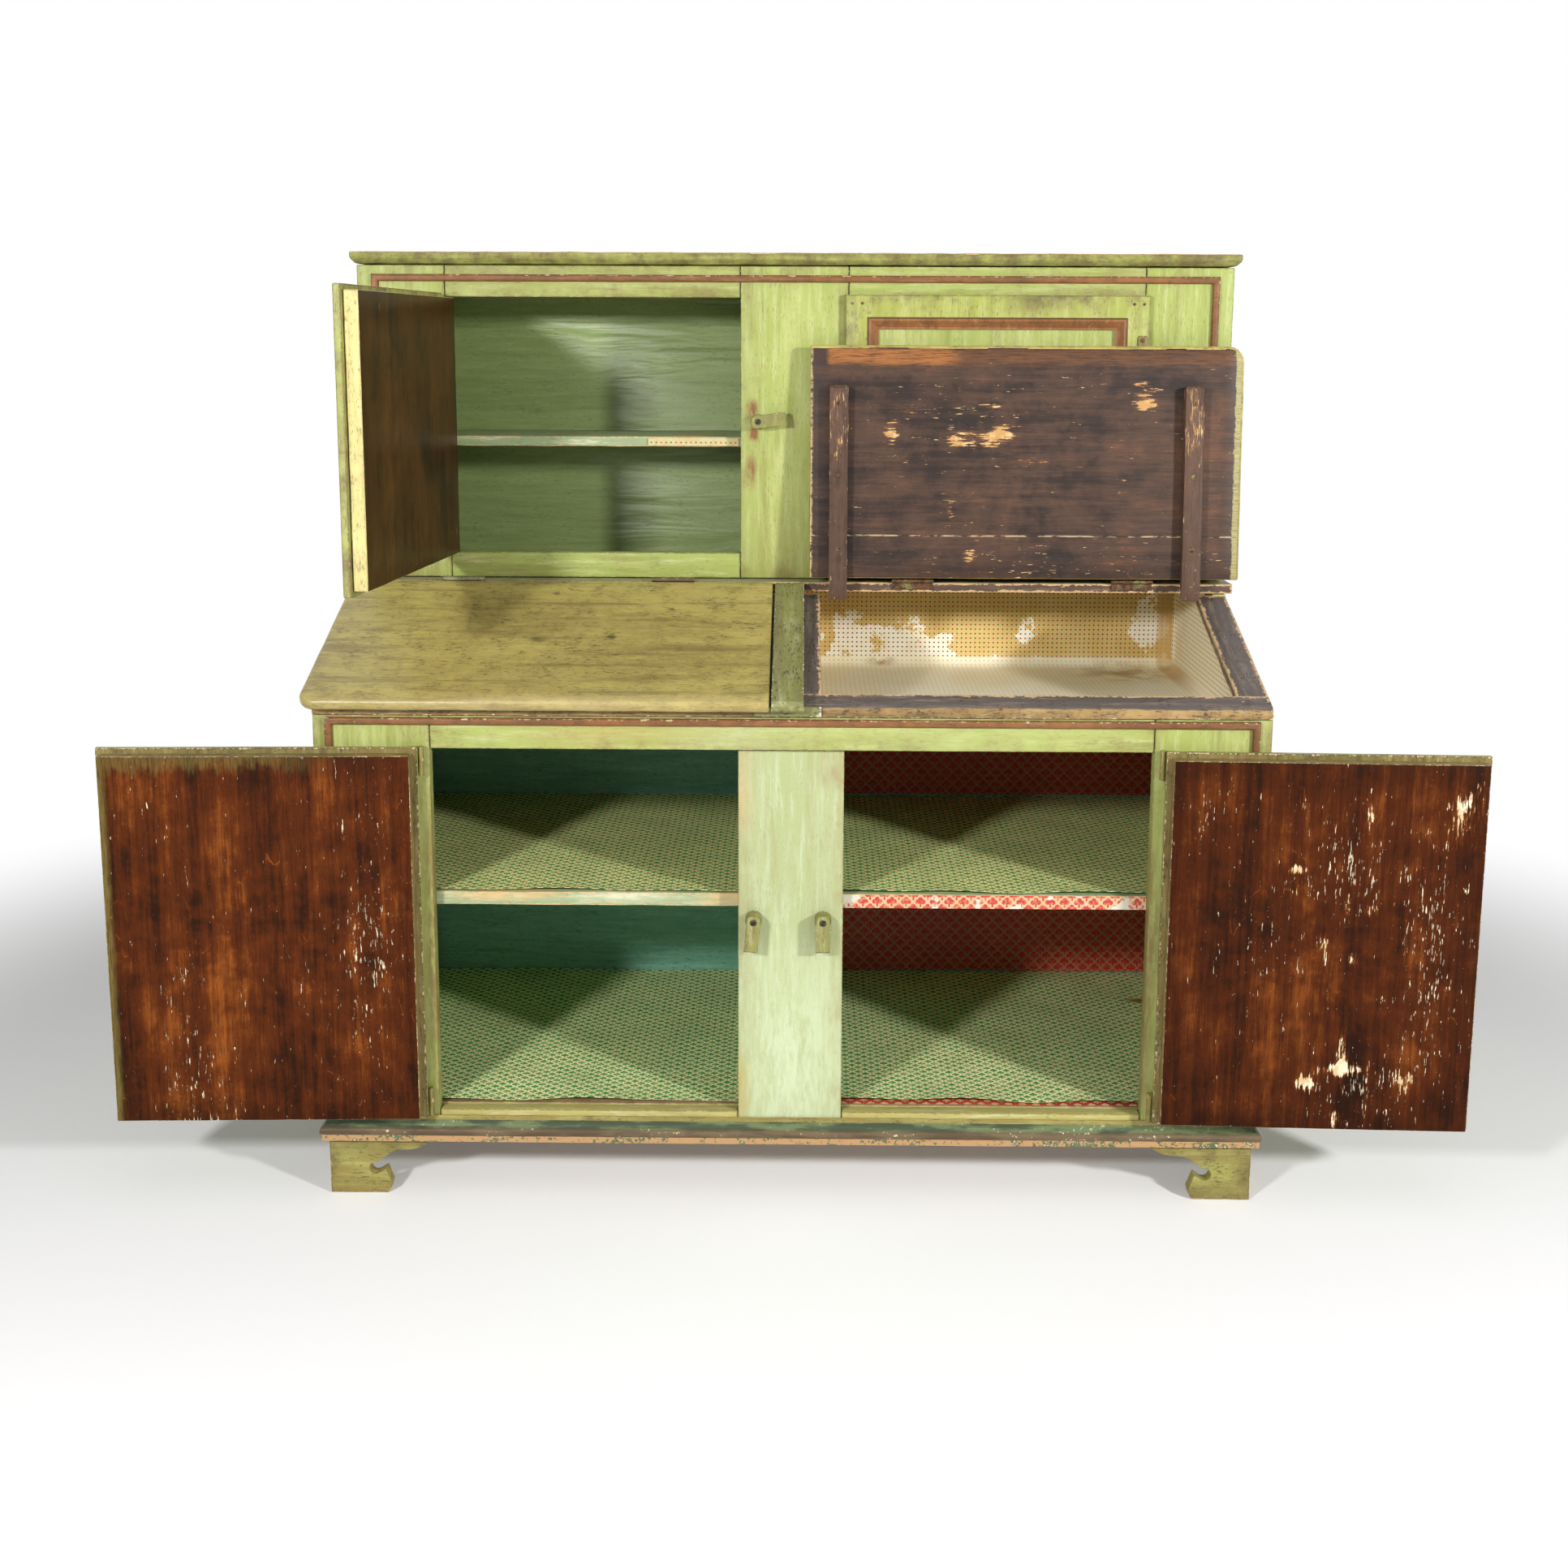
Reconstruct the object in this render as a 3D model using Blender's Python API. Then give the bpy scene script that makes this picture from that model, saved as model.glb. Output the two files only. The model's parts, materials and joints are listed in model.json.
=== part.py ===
"""Slant-top bin sideboard: base cupboard, two bins under sloping lids and a shallow upper cupboard."""
import math

import bmesh
import bpy
from mathutils import Matrix, Vector

for old in list(bpy.data.objects):
    bpy.data.objects.remove(old, do_unlink=True)

# Driving dimensions, in metres
CARCASS_WIDTH = 1.400
BOARD = 0.022            # sides, frames, floor, partition and lower shelves
FIT = 0.0003             # gap between pieces that touch
BACK_INSIDE = 0.600      # from the front of the base frame to the inside of the back
BACK_THICK = 0.012

FOOT_HIGH = 0.087
FOOT_LONG = 0.162
PLINTH_HIGH = 0.0415
PLINTH_OUT = 0.011
SILL_TOP = 0.137         # top of the bottom rails, where the base doors start
FLOOR_RISE = 0.002       # floor above the sill
BASE_OPENING_HIGH = 0.559
BASE_STILE = 0.171
BASE_CENTRE_STILE = 0.156
LOWER_SHELF_TOP = 0.472

BIN_FLOOR_THICK = 0.018
RIM_THICK = 0.018
RIM_RISE = 0.0514        # top of the rim, at the front of the base frame, above the bin floor
RIM_NOSE = 0.006         # how far the front rim stands out
RIM_FRONT_DEEP = 0.030   # front rim, level depth behind the front of the frame
RIM_SIDE_WIDE = 0.049
SLOPE_RUN = 0.322
SLOPE_RISE = 0.119
DIVIDER_X = -0.0055
RIM_CENTRE_WIDE = 0.100
CROSS_WIDE = 0.049

LEDGE_THICK = 0.0175
LEDGE_EAR = 0.011
UPPER_SET_BACK = 0.358   # front of the upper frame behind the front of the base frame
UPPER_STILE = 0.140
UPPER_CENTRE_STILE = 0.173
UPPER_RAIL = 0.0418
UPPER_OPENING_HIGH = 0.4097
UPPER_TOP_RAIL = 0.0506
UPPER_SHELF_THICK = 0.018
UPPER_SHELF_RISE = 0.230  # top of the upper shelf above the ledge
SHELF_SET_BACK = 0.003

TOP_THICK = 0.021
TOP_OUT = 0.0105
TOP_EDGE = 0.009

BEAD_WIDE = 0.012
BEAD_OUT = 0.007
BASE_BEAD_IN = 0.018     # from the side of the carcass to the bead
UPPER_BEAD_IN = 0.023
UPPER_BEAD_DOWN = 0.0145  # from the underside of the top board to the bead

LID_THICK = 0.020
LID_LONG = 0.372
LID_OUT = 0.0145
LEFT_LID_GAP = 0.0015    # between a lid and the cross strip
RIGHT_LID_GAP = 0.006
LID_CORNER = 0.026
LID_ROUND = 0.006
LID_BACK_GAP = 0.001
LEAN_GAP = 0.001         # between the leaning lid and the upper right door
BATTEN_WIDE = 0.031
BATTEN_THICK = 0.018
BATTEN_FRONT = 0.3085
BATTEN_TAIL = 0.033
BATTEN_IN = 0.0465       # from the inner edge of the lid to the middle of the inner batten
BATTEN_SIDE_GAP = 0.002
TAIL_CLEAR = 0.002

DOOR_EASE = 0.0006       # between a closed lip and the frame behind it
DOOR_CLEAR = 0.0015      # round an inset door board
DOOR_LAP = 0.006
LIP_THICK = 0.012
LIP_WIDE = 0.057
LOWER_OPEN = math.radians(178)
UPPER_OPEN = math.radians(94.5)

BARREL_RADIUS = 0.004
BARREL_LONG = 0.044
BARREL_CLEAR = 0.0005
BARREL_OUT = 0.0100      # hinge pin in front of the frame
LEAF_WIDE = 0.020
LEAF_THICK = 0.0015
WEB_THICK = 0.003
UPPER_HINGE_IN = 0.055   # from the end of the upper door to its hinges

LID_BARREL_RADIUS = 0.0036
LID_BARREL_CLEAR = 0.0002
LID_PIN_RAISE = 0.0025   # lid pin above the ledge
LID_HINGE_LONG = 0.065
LID_LEAF_HIGH = 0.011
LID_HINGE_IN = 0.168     # from each end of the right lid to the middle of its hinge

BUTTON_LONG = 0.045
BUTTON_WIDE = 0.021
BUTTON_THICK = 0.010
DISC_RADIUS = 0.0125
DISC_STANDS = 0.0138
LOWER_BUTTON_RISE = 0.304
UPPER_BUTTON_RISE = 0.2555
LEFT_BUTTON_IN = 0.0235  # pivot from the edge of the centre stile
RIGHT_BUTTON_IN = 0.030
UPPER_BUTTON_IN = 0.029
LEFT_BUTTON_TURN = math.radians(-95)
RIGHT_BUTTON_TURN = math.radians(-90)
UPPER_BUTTON_TURN = math.radians(8)

# Places that follow from the sizes above
half = CARCASS_WIDTH / 2
inner = half - BOARD
back_face = BACK_INSIDE + BACK_THICK
slope = math.atan2(SLOPE_RISE, SLOPE_RUN)
tan_s = SLOPE_RISE / SLOPE_RUN
cos_s = math.cos(slope)
sin_s = math.sin(slope)
floor_top = SILL_TOP + FLOOR_RISE
base_opening_top = SILL_TOP + BASE_OPENING_HIGH
bin_floor_top = base_opening_top + BIN_FLOOR_THICK
rim_front_top = bin_floor_top + RIM_RISE
ledge_under = rim_front_top + SLOPE_RISE
ledge_top = ledge_under + LEDGE_THICK
upper_opening_low = ledge_top + UPPER_RAIL
upper_opening_top = upper_opening_low + UPPER_OPENING_HIGH
top_under = upper_opening_top + UPPER_TOP_RAIL
upper_back_of_frame = UPPER_SET_BACK + BOARD
base_x = half - BASE_STILE
base_c = BASE_CENTRE_STILE / 2
upper_x = half - UPPER_STILE
upper_c = UPPER_CENTRE_STILE / 2
lower_pin_x = base_x + DOOR_LAP + BARREL_RADIUS + BARREL_CLEAR
upper_pin_x = upper_x + DOOR_LAP + BARREL_RADIUS + BARREL_CLEAR
door_back = BOARD - DOOR_EASE + FIT

# The part stands with the middle of its whole depth at Y 0
lower_reach = lower_pin_x - base_c - DOOR_CLEAR
lower_front = BARREL_OUT + lower_reach * math.sin(LOWER_OPEN) - (BARREL_OUT + door_back) * math.cos(LOWER_OPEN)
upper_reach = upper_pin_x - upper_c + DOOR_LAP
upper_front = upper_reach * math.sin(UPPER_OPEN) - (BARREL_OUT - DOOR_EASE) * math.cos(UPPER_OPEN)
upper_front += BARREL_OUT - UPPER_SET_BACK
MIDDLE_Y = (back_face - max(lower_front, upper_front)) / 2


def rim_top(y):
    return rim_front_top + y * tan_s


def rim_under(y):
    return rim_top(y) - RIM_THICK / cos_s


main = bpy.data.collections.new("slant_top_bin_sideboard")
cutters = bpy.data.collections.new("cutters")
bpy.context.scene.collection.children.link(main)
bpy.context.scene.collection.children.link(cutters)
parts = {}


def finish(name, mesh, colour, rough=0.6, metal=0.0, cutter=False):
    """Make a named object from a mesh that is drawn in base-frame places."""
    for poly in mesh.polygons:
        poly.use_smooth = False
    mesh.transform(Matrix.Translation((0, -MIDDLE_Y, 0)))
    obj = bpy.data.objects.new(name, mesh)
    if cutter:
        cutters.objects.link(obj)
        obj.hide_render = True
        obj.display_type = "WIRE"
        return obj
    main.objects.link(obj)
    mat = bpy.data.materials.new(name + "_finish")
    mat.use_nodes = True
    shader = mat.node_tree.nodes["Principled BSDF"]
    shader.inputs["Base Color"].default_value = (*colour, 1)
    shader.inputs["Roughness"].default_value = rough
    shader.inputs["Metallic"].default_value = metal
    mesh.materials.append(mat)
    parts[name] = obj
    return obj


def block_mesh(name, x0, x1, y0, y1, z0, z1):
    bm = bmesh.new()
    size = Matrix.Diagonal((x1 - x0, y1 - y0, z1 - z0, 1))
    place = Matrix.Translation(((x0 + x1) / 2, (y0 + y1) / 2, (z0 + z1) / 2))
    bmesh.ops.create_cube(bm, size=1, matrix=place @ size)
    mesh = bpy.data.meshes.new(name)
    bm.to_mesh(mesh)
    bm.free()
    return mesh


def rod_mesh(name, radius, long, place, sides=16):
    bm = bmesh.new()
    bmesh.ops.create_cone(bm, cap_ends=True, segments=sides, radius1=radius, radius2=radius,
                          depth=long, matrix=place)
    mesh = bpy.data.meshes.new(name)
    bm.to_mesh(mesh)
    bm.free()
    return mesh


AXES = {
    "x": Matrix(((0, 0, 1, 0), (1, 0, 0, 0), (0, 1, 0, 0), (0, 0, 0, 1))),
    "y": Matrix(((1, 0, 0, 0), (0, 0, -1, 0), (0, 1, 0, 0), (0, 0, 0, 1))),
    "z": Matrix.Identity(4),
}


def prism_mesh(name, outline, axis, low, high, hole=None):
    """A flat curve, filled and drawn out from low to high along one axis."""
    curve = bpy.data.curves.new(name, "CURVE")
    curve.dimensions = "2D"
    curve.fill_mode = "BOTH"
    curve.extrude = (high - low) / 2
    for loop in [outline] + ([hole] if hole else []):
        line = curve.splines.new("POLY")
        line.points.add(len(loop) - 1)
        for point, (a, b) in zip(line.points, loop):
            point.co = (a, b, 0, 1)
        line.use_cyclic_u = True
    drawn = bpy.data.objects.new(name + "_curve", curve)
    bpy.context.scene.collection.objects.link(drawn)
    bpy.context.view_layer.update()
    mesh = bpy.data.meshes.new_from_object(drawn.evaluated_get(bpy.context.evaluated_depsgraph_get()))
    bpy.data.objects.remove(drawn, do_unlink=True)
    bpy.data.curves.remove(curve)
    middle = (low + high) / 2
    shift = {"x": (middle, 0, 0), "y": (0, middle, 0), "z": (0, 0, middle)}[axis]
    mesh.transform(Matrix.Translation(shift) @ AXES[axis])
    bm = bmesh.new()
    bm.from_mesh(mesh)
    bmesh.ops.remove_doubles(bm, verts=bm.verts, dist=0.00002)
    bmesh.ops.dissolve_limit(bm, angle_limit=0.001, verts=bm.verts, edges=bm.edges)
    bmesh.ops.recalc_face_normals(bm, faces=bm.faces)
    bm.to_mesh(mesh)
    bm.free()
    return mesh


def round_edges(mesh, wanted, width, segments):
    """Round the edges whose two ends satisfy the test."""
    bm = bmesh.new()
    bm.from_mesh(mesh)
    edges = [e for e in bm.edges if wanted(e.verts[0].co) and wanted(e.verts[1].co)]
    bmesh.ops.bevel(bm, geom=edges, offset=width, segments=segments, profile=0.5, affect="EDGES")
    bm.to_mesh(mesh)
    bm.free()


def turn(mesh, centre, angle, axis):
    place = Matrix.Translation(centre)
    mesh.transform(place @ Matrix.Rotation(angle, 4, axis) @ place.inverted())


def hang(obj, point):
    """Put the object's origin on its joint axis, given in base-frame places."""
    where = Vector(point) - Vector((0, MIDDLE_Y, 0))
    obj.data.transform(Matrix.Translation(-where))
    obj.location = where


def joined(base, other):
    mod = base.modifiers.new("join", "BOOLEAN")
    mod.operation = "UNION"
    mod.solver = "EXACT"
    mod.object = other


def block(name, x0, x1, y0, y1, z0, z1, colour, rough=0.6):
    return finish(name, block_mesh(name, x0, x1, y0, y1, z0, z1), colour, rough)


GREEN = (0.46, 0.58, 0.18)
PALE = (0.55, 0.66, 0.36)
SAGE = (0.22, 0.33, 0.14)
BROWN = (0.42, 0.16, 0.07)
STAIN = (0.17, 0.06, 0.02)
DARK = (0.05, 0.035, 0.028)
OLIVE = (0.30, 0.24, 0.08)
RAW = (0.36, 0.22, 0.11)
IRON = (0.12, 0.09, 0.07)

# Sides: one board each, cut to the slope, with a step under the ledge
side_outline = [
    (BOARD + FIT, FOOT_HIGH + FIT),
    (back_face, FOOT_HIGH + FIT),
    (back_face, top_under - FIT),
    (upper_back_of_frame + FIT, top_under - FIT),
    (upper_back_of_frame + FIT, ledge_under - FIT),
    (SLOPE_RUN, ledge_under - FIT),
    (SLOPE_RUN, rim_under(SLOPE_RUN) - FIT),
    (BOARD + FIT, rim_under(BOARD + FIT) - FIT),
]
for name, low, high in (("side_left", -half, -inner), ("side_right", inner, half)):
    finish(name, prism_mesh(name, side_outline, "x", low, high), GREEN)

# Back, floors, partition and shelves
inside_front = BOARD + FIT
inside_back = BACK_INSIDE - FIT
block("back_panel", -inner + FIT, inner - FIT, BACK_INSIDE, back_face, FOOT_HIGH + FIT, top_under - FIT, SAGE)
block("base_floor", -inner + FIT, inner - FIT, inside_front, inside_back, floor_top - BOARD, floor_top, RAW)
block("bin_floor", -inner + FIT, inner - FIT, inside_front, inside_back, base_opening_top + FIT, bin_floor_top,
      RAW)
block("base_partition", -BOARD / 2, BOARD / 2, inside_front, inside_back, floor_top + FIT,
      base_opening_top, SAGE)
shelf_front = BOARD + SHELF_SET_BACK
shelf_low = LOWER_SHELF_TOP - BOARD
block("lower_shelf_left", -inner + FIT, -BOARD / 2 - FIT, shelf_front, inside_back, shelf_low, LOWER_SHELF_TOP, SAGE)
block("lower_shelf_right", BOARD / 2 + FIT, inner - FIT, shelf_front, inside_back, shelf_low, LOWER_SHELF_TOP, SAGE)
upper_shelf_top = ledge_top + UPPER_SHELF_RISE
block("upper_shelf", -inner + FIT, inner - FIT, upper_back_of_frame + SHELF_SET_BACK, inside_back,
      upper_shelf_top - UPPER_SHELF_THICK, upper_shelf_top, SAGE)
divider_outline = [
    (inside_front, bin_floor_top + FIT),
    (inside_back, bin_floor_top + FIT),
    (inside_back, ledge_under - FIT),
    (SLOPE_RUN, ledge_under - FIT),
    (SLOPE_RUN, rim_under(SLOPE_RUN) - FIT),
    (inside_front, rim_under(inside_front) - FIT),
]
divider = (DIVIDER_X - BOARD / 2, DIVIDER_X + BOARD / 2)
finish("bin_divider", prism_mesh("bin_divider", divider_outline, "x", *divider), RAW)

# Ledge: floor of the upper cupboard, with ears that run out over the sides
ledge_outline = [
    (-half - LEDGE_EAR, SLOPE_RUN),
    (half + LEDGE_EAR, SLOPE_RUN),
    (half + LEDGE_EAR, upper_back_of_frame),
    (inner - FIT, upper_back_of_frame),
    (inner - FIT, inside_back),
    (-inner + FIT, inside_back),
    (-inner + FIT, upper_back_of_frame),
    (-half - LEDGE_EAR, upper_back_of_frame),
]
finish("ledge", prism_mesh("ledge", ledge_outline, "z", ledge_under, ledge_top), OLIVE)

# Base front frame
frame_low = FOOT_HIGH + FIT


def to_rim(low):
    return [(0, low), (BOARD, low), (BOARD, rim_under(BOARD) - FIT), (0, rim_under(0) - FIT)]


for name, low, high in (("base_stile_left", -half, -base_x), ("base_stile_right", base_x, half)):
    finish(name, prism_mesh(name, to_rim(frame_low), "x", low, high), GREEN)
finish("base_rail_top", prism_mesh("base_rail_top", to_rim(base_opening_top), "x", -base_x + FIT, base_x - FIT), GREEN)
block("base_stile_centre", -base_c, base_c, 0, BOARD, frame_low, base_opening_top - FIT, PALE)
block("base_rail_bottom_left", -base_x + FIT, -base_c - FIT, 0, BOARD, frame_low, SILL_TOP, GREEN)
block("base_rail_bottom_right", base_c + FIT, base_x - FIT, 0, BOARD, frame_low, SILL_TOP, GREEN)

# Upper front frame
stand = ledge_top + FIT
top_rest = top_under - FIT
upper_frame = (UPPER_SET_BACK, upper_back_of_frame)
block("upper_stile_left", -half, -upper_x, *upper_frame, stand, top_rest, GREEN)
block("upper_stile_centre", -upper_c, upper_c, *upper_frame, stand, top_rest, GREEN)
block("upper_stile_right", upper_x, half, *upper_frame, stand, top_rest, GREEN)
for side, low, high in (("left", -upper_x, -upper_c), ("right", upper_c, upper_x)):
    block("upper_rail_bottom_" + side, low + FIT, high - FIT, *upper_frame, stand, upper_opening_low, GREEN)
    block("upper_rail_top_" + side, low + FIT, high - FIT, *upper_frame, upper_opening_top, top_rest, GREEN)

# Top board, with its lower edge hollowed at the front and the ends
top_mesh = block_mesh("top_board", -half - TOP_OUT, half + TOP_OUT, UPPER_SET_BACK - TOP_OUT, back_face,
                      top_under, top_under + TOP_THICK)


def under_top_edge(co):
    if co.z > top_under + TOP_THICK / 2:
        return False
    return True


def bevel_top(mesh):
    bm = bmesh.new()
    bm.from_mesh(mesh)
    edges = []
    for e in bm.edges:
        a, b = e.verts[0].co, e.verts[1].co
        if under_top_edge(a) and under_top_edge(b) and min(a.y, b.y) < back_face - 0.001:
            edges.append(e)
    bmesh.ops.bevel(bm, geom=edges, offset=TOP_EDGE, segments=3, profile=0.25, affect="EDGES")
    bm.to_mesh(mesh)
    bm.free()


bevel_top(top_mesh)
finish("top_board", top_mesh, GREEN)

# Brown beads that frame the two fronts


def bead(name, half_out, low, top, y_face):
    outer, inside = half_out, half_out - BEAD_WIDE
    outline = [(-outer, low), (-outer, top), (outer, top), (outer, low),
               (inside, low), (inside, top - BEAD_WIDE), (-inside, top - BEAD_WIDE), (-inside, low)]
    mesh = prism_mesh(name, outline, "y", y_face - FIT - BEAD_OUT, y_face - FIT)
    return finish(name, mesh, BROWN)


bead("base_bead", half - BASE_BEAD_IN, FOOT_HIGH + PLINTH_HIGH + FIT, rim_under(-RIM_NOSE) - FIT, 0)
bead("upper_bead", half - UPPER_BEAD_IN, stand, top_under - UPPER_BEAD_DOWN, UPPER_SET_BACK)

# Plinth moulding: one profile, mitred round the front and both sides
low = FOOT_HIGH + FIT
profile = [
    (FIT, low), (PLINTH_OUT * 0.85, low), (PLINTH_OUT * 0.85, low + 0.010),
    (PLINTH_OUT, low + 0.012), (PLINTH_OUT * 1.1, low + 0.0165), (PLINTH_OUT, low + 0.021),
    (PLINTH_OUT * 0.75, low + 0.023), (PLINTH_OUT * 0.40, low + 0.026), (PLINTH_OUT * 0.30, low + 0.030),
    (PLINTH_OUT * 0.30, low + PLINTH_HIGH - FIT), (FIT, low + PLINTH_HIGH - FIT),
]


def wrap_round(mesh):
    """Mitre both ends of the front bar and draw them back along the sides."""
    bm = bmesh.new()
    bm.from_mesh(mesh)
    for side in (-1, 1):
        end = [f for f in bm.faces if all(abs(v.co.x - side * half) < 0.00005 for v in f.verts)][0]
        for v in end.verts:
            v.co.x -= side * v.co.y
        drawn = bmesh.ops.extrude_face_region(bm, geom=[end])
        for v in drawn["geom"]:
            if isinstance(v, bmesh.types.BMVert):
                v.co.y = back_face
        if end.is_valid:
            bmesh.ops.delete(bm, geom=[end], context="FACES_ONLY")
    bmesh.ops.recalc_face_normals(bm, faces=bm.faces)
    bm.to_mesh(mesh)
    bm.free()


plinth = prism_mesh("plinth", [(-a, b) for a, b in profile], "x", -half, half)
wrap_round(plinth)
finish("plinth", plinth, BROWN)

# Scrolled bracket feet
notch = []
for k in range(9):
    angle = math.radians(70 + k * 29)
    notch.append((0.0690 + 0.0086 * math.cos(angle), 0.0380 + 0.0086 * math.sin(angle)))
scroll = [
    (0, 0), (0, 0.083), (0.162, 0.083), (0.157, 0.080), (0.142, 0.072), (0.1345, 0.0685), (0.123, 0.0665),
    (0.105, 0.0655), (0.097, 0.063), (0.089, 0.058), (0.079, 0.0515),
] + notch + [(0.0855, 0.0385), (0.090, 0.026), (0.0945, 0.0146), (0.092, 0.006), (0.087, 0.0)]


def foot_bar(name, axis, start, sign, low_edge, high_edge):
    wide, high = FOOT_LONG / 0.162, FOOT_HIGH / 0.083
    return prism_mesh(name, [(start + sign * a * wide, b * high) for a, b in scroll], axis, low_edge, high_edge)


for side, word in ((-1, "left"), (1, "right")):
    across = (-half, -inner) if side < 0 else (inner, half)
    name = "foot_front_" + word
    foot = finish(name, foot_bar(name, "y", side * half, -side, 0, BOARD), OLIVE)
    arm = finish(name + "_arm", foot_bar(name + "_arm", "x", 0, 1, *across), OLIVE, cutter=True)
    joined(foot, arm)
    name = "foot_back_" + word
    finish(name, foot_bar(name, "x", back_face, -1, *across), OLIVE)

# Rims of the bins and the raised strip between the lids
rim_join = RIM_FRONT_DEEP


def rim_outline(start, stop):
    return [(start, rim_under(start)), (stop, rim_under(stop)), (stop, rim_top(stop)), (start, rim_top(start))]


nose = -RIM_NOSE
front_outline = [
    (nose + 0.003, rim_under(nose + 0.003)), (rim_join, rim_under(rim_join)), (rim_join, rim_top(rim_join)),
    (nose + 0.006, rim_top(nose + 0.006)), (nose + 0.0015, rim_top(nose) - 0.002), (nose, rim_top(nose) - 0.006),
    (nose, rim_under(nose) + 0.003),
]
finish("rim_front", prism_mesh("rim_front", front_outline, "x", -half, half), DARK)
rims = rim_outline(rim_join + FIT, SLOPE_RUN - FIT)
rim_edge = half - RIM_SIDE_WIDE
centre = (DIVIDER_X - RIM_CENTRE_WIDE / 2, DIVIDER_X + RIM_CENTRE_WIDE / 2)
finish("rim_left", prism_mesh("rim_left", rims, "x", -half, -rim_edge), DARK)
finish("rim_right", prism_mesh("rim_right", rims, "x", rim_edge, half), DARK)
finish("rim_centre", prism_mesh("rim_centre", rims, "x", *centre), DARK)


def on_slope(along, above):
    """A place on the slope: along from the back edge of a lid, above from the rim."""
    y = SLOPE_RUN - LID_BACK_GAP - along * cos_s - above * sin_s
    z = rim_top(SLOPE_RUN - LID_BACK_GAP) - along * sin_s + above * cos_s
    return (y, z)


low_n, high_n = FIT, FIT + LID_THICK
cross_low = DIVIDER_X - CROSS_WIDE / 2
cross_high = DIVIDER_X + CROSS_WIDE / 2
cross_outline = [
    on_slope(0, low_n), on_slope(LID_LONG - 0.004, low_n), on_slope(LID_LONG, low_n + 0.006),
    on_slope(LID_LONG, high_n - 0.006), on_slope(LID_LONG - 0.006, high_n), on_slope(0, high_n),
]
finish("cross_strip", prism_mesh("cross_strip", cross_outline, "x", cross_low, cross_high), OLIVE)

# Lids: rounded outer front corner and a rounded nose, first drawn flat, then set on the slope
pin_y = SLOPE_RUN - LID_BARREL_RADIUS - LID_BARREL_CLEAR
pin_z = ledge_top + LID_PIN_RAISE


def lid_mesh(name, straight_x, round_x):
    sign = 1 if round_x > straight_x else -1
    outline = [(straight_x, 0), (straight_x, -LID_LONG)]
    centre_x = round_x - sign * LID_CORNER
    for k in range(6):
        angle = math.radians(90 - 18 * k)
        outline.append((centre_x + sign * LID_CORNER * math.cos(angle),
                        -LID_LONG + LID_CORNER - LID_CORNER * math.sin(angle)))
    outline.append((round_x, 0))
    mesh = prism_mesh(name, outline, "z", low_n, high_n)

    def outside(co):
        return co.y < -LID_LONG + LID_CORNER + 0.001 or abs(co.x - round_x) < 0.0005

    bm = bmesh.new()
    bm.from_mesh(mesh)
    edges = []
    for e in bm.edges:
        a, b = e.verts[0].co, e.verts[1].co
        level = abs(a.z - b.z) < 0.0001
        along_back = a.y > -0.001 and b.y > -0.001
        along_straight = abs(a.x - straight_x) < 0.0001 and abs(b.x - straight_x) < 0.0001
        if level and not along_back and not along_straight:
            edges.append(e)
    bmesh.ops.bevel(bm, geom=edges, offset=LID_ROUND, segments=2, profile=0.5, affect="EDGES", clamp_overlap=True)
    bm.to_mesh(mesh)
    bm.free()
    return mesh


def set_on_slope(mesh):
    place = Matrix.Translation((0, SLOPE_RUN - LID_BACK_GAP, rim_top(SLOPE_RUN - LID_BACK_GAP)))
    mesh.transform(place @ Matrix.Rotation(slope, 4, "X"))


lid_left = lid_mesh("lid_left", cross_low - LEFT_LID_GAP, -half - LID_OUT)
set_on_slope(lid_left)
hang(finish("lid_left", lid_left, OLIVE, 0.45), (cross_low - LEFT_LID_GAP, pin_y, pin_z))

# How far the open right lid leans back before it meets the upper right door
back_y, back_z = on_slope(0, high_n)
off_y, off_z = pin_y - back_y, pin_z - back_z
pin_past = off_y * cos_s + off_z * sin_s
pin_above = -off_y * sin_s + off_z * cos_s
corner_far = math.hypot(LID_LONG + pin_past, pin_above)
corner_turn = math.atan2(pin_above, LID_LONG + pin_past)
lean_reach = UPPER_SET_BACK - DOOR_EASE - LIP_THICK - LEAN_GAP - pin_y
LEAN = math.asin(lean_reach / corner_far) + corner_turn
LID_TRAVEL = math.pi / 2 + slope + LEAN
lid_inner = cross_high + RIGHT_LID_GAP
lid_outer = half + LID_OUT
lid_pin = (lid_inner, pin_y, pin_z)

lid_right = lid_mesh("lid_right", lid_inner, lid_outer)
set_on_slope(lid_right)
turn(lid_right, lid_pin, -LID_TRAVEL, "X")
hang(finish("lid_right", lid_right, DARK, 0.5), lid_pin)

# Battens under the right lid, with tails that go in under the ledge
tail_top = ledge_under - TAIL_CLEAR
tail_y, tail_z = on_slope(-BATTEN_TAIL, -BATTEN_THICK)
start_y = SLOPE_RUN - LID_BACK_GAP - (rim_top(SLOPE_RUN - LID_BACK_GAP) - tail_top) / tan_s
batten_outline = [
    on_slope(BATTEN_FRONT, 0), (start_y, tail_top), (tail_y - 0.004, tail_top), (tail_y, tail_top - 0.002),
    (tail_y - 0.002, tail_z + 0.001), (tail_y - 0.008, on_slope(-BATTEN_TAIL + 0.008, -BATTEN_THICK)[1]),
    on_slope(BATTEN_FRONT - 0.004, -BATTEN_THICK), on_slope(BATTEN_FRONT, -BATTEN_THICK + 0.004),
]
outer_x = rim_edge - BATTEN_SIDE_GAP - BATTEN_WIDE / 2
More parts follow.
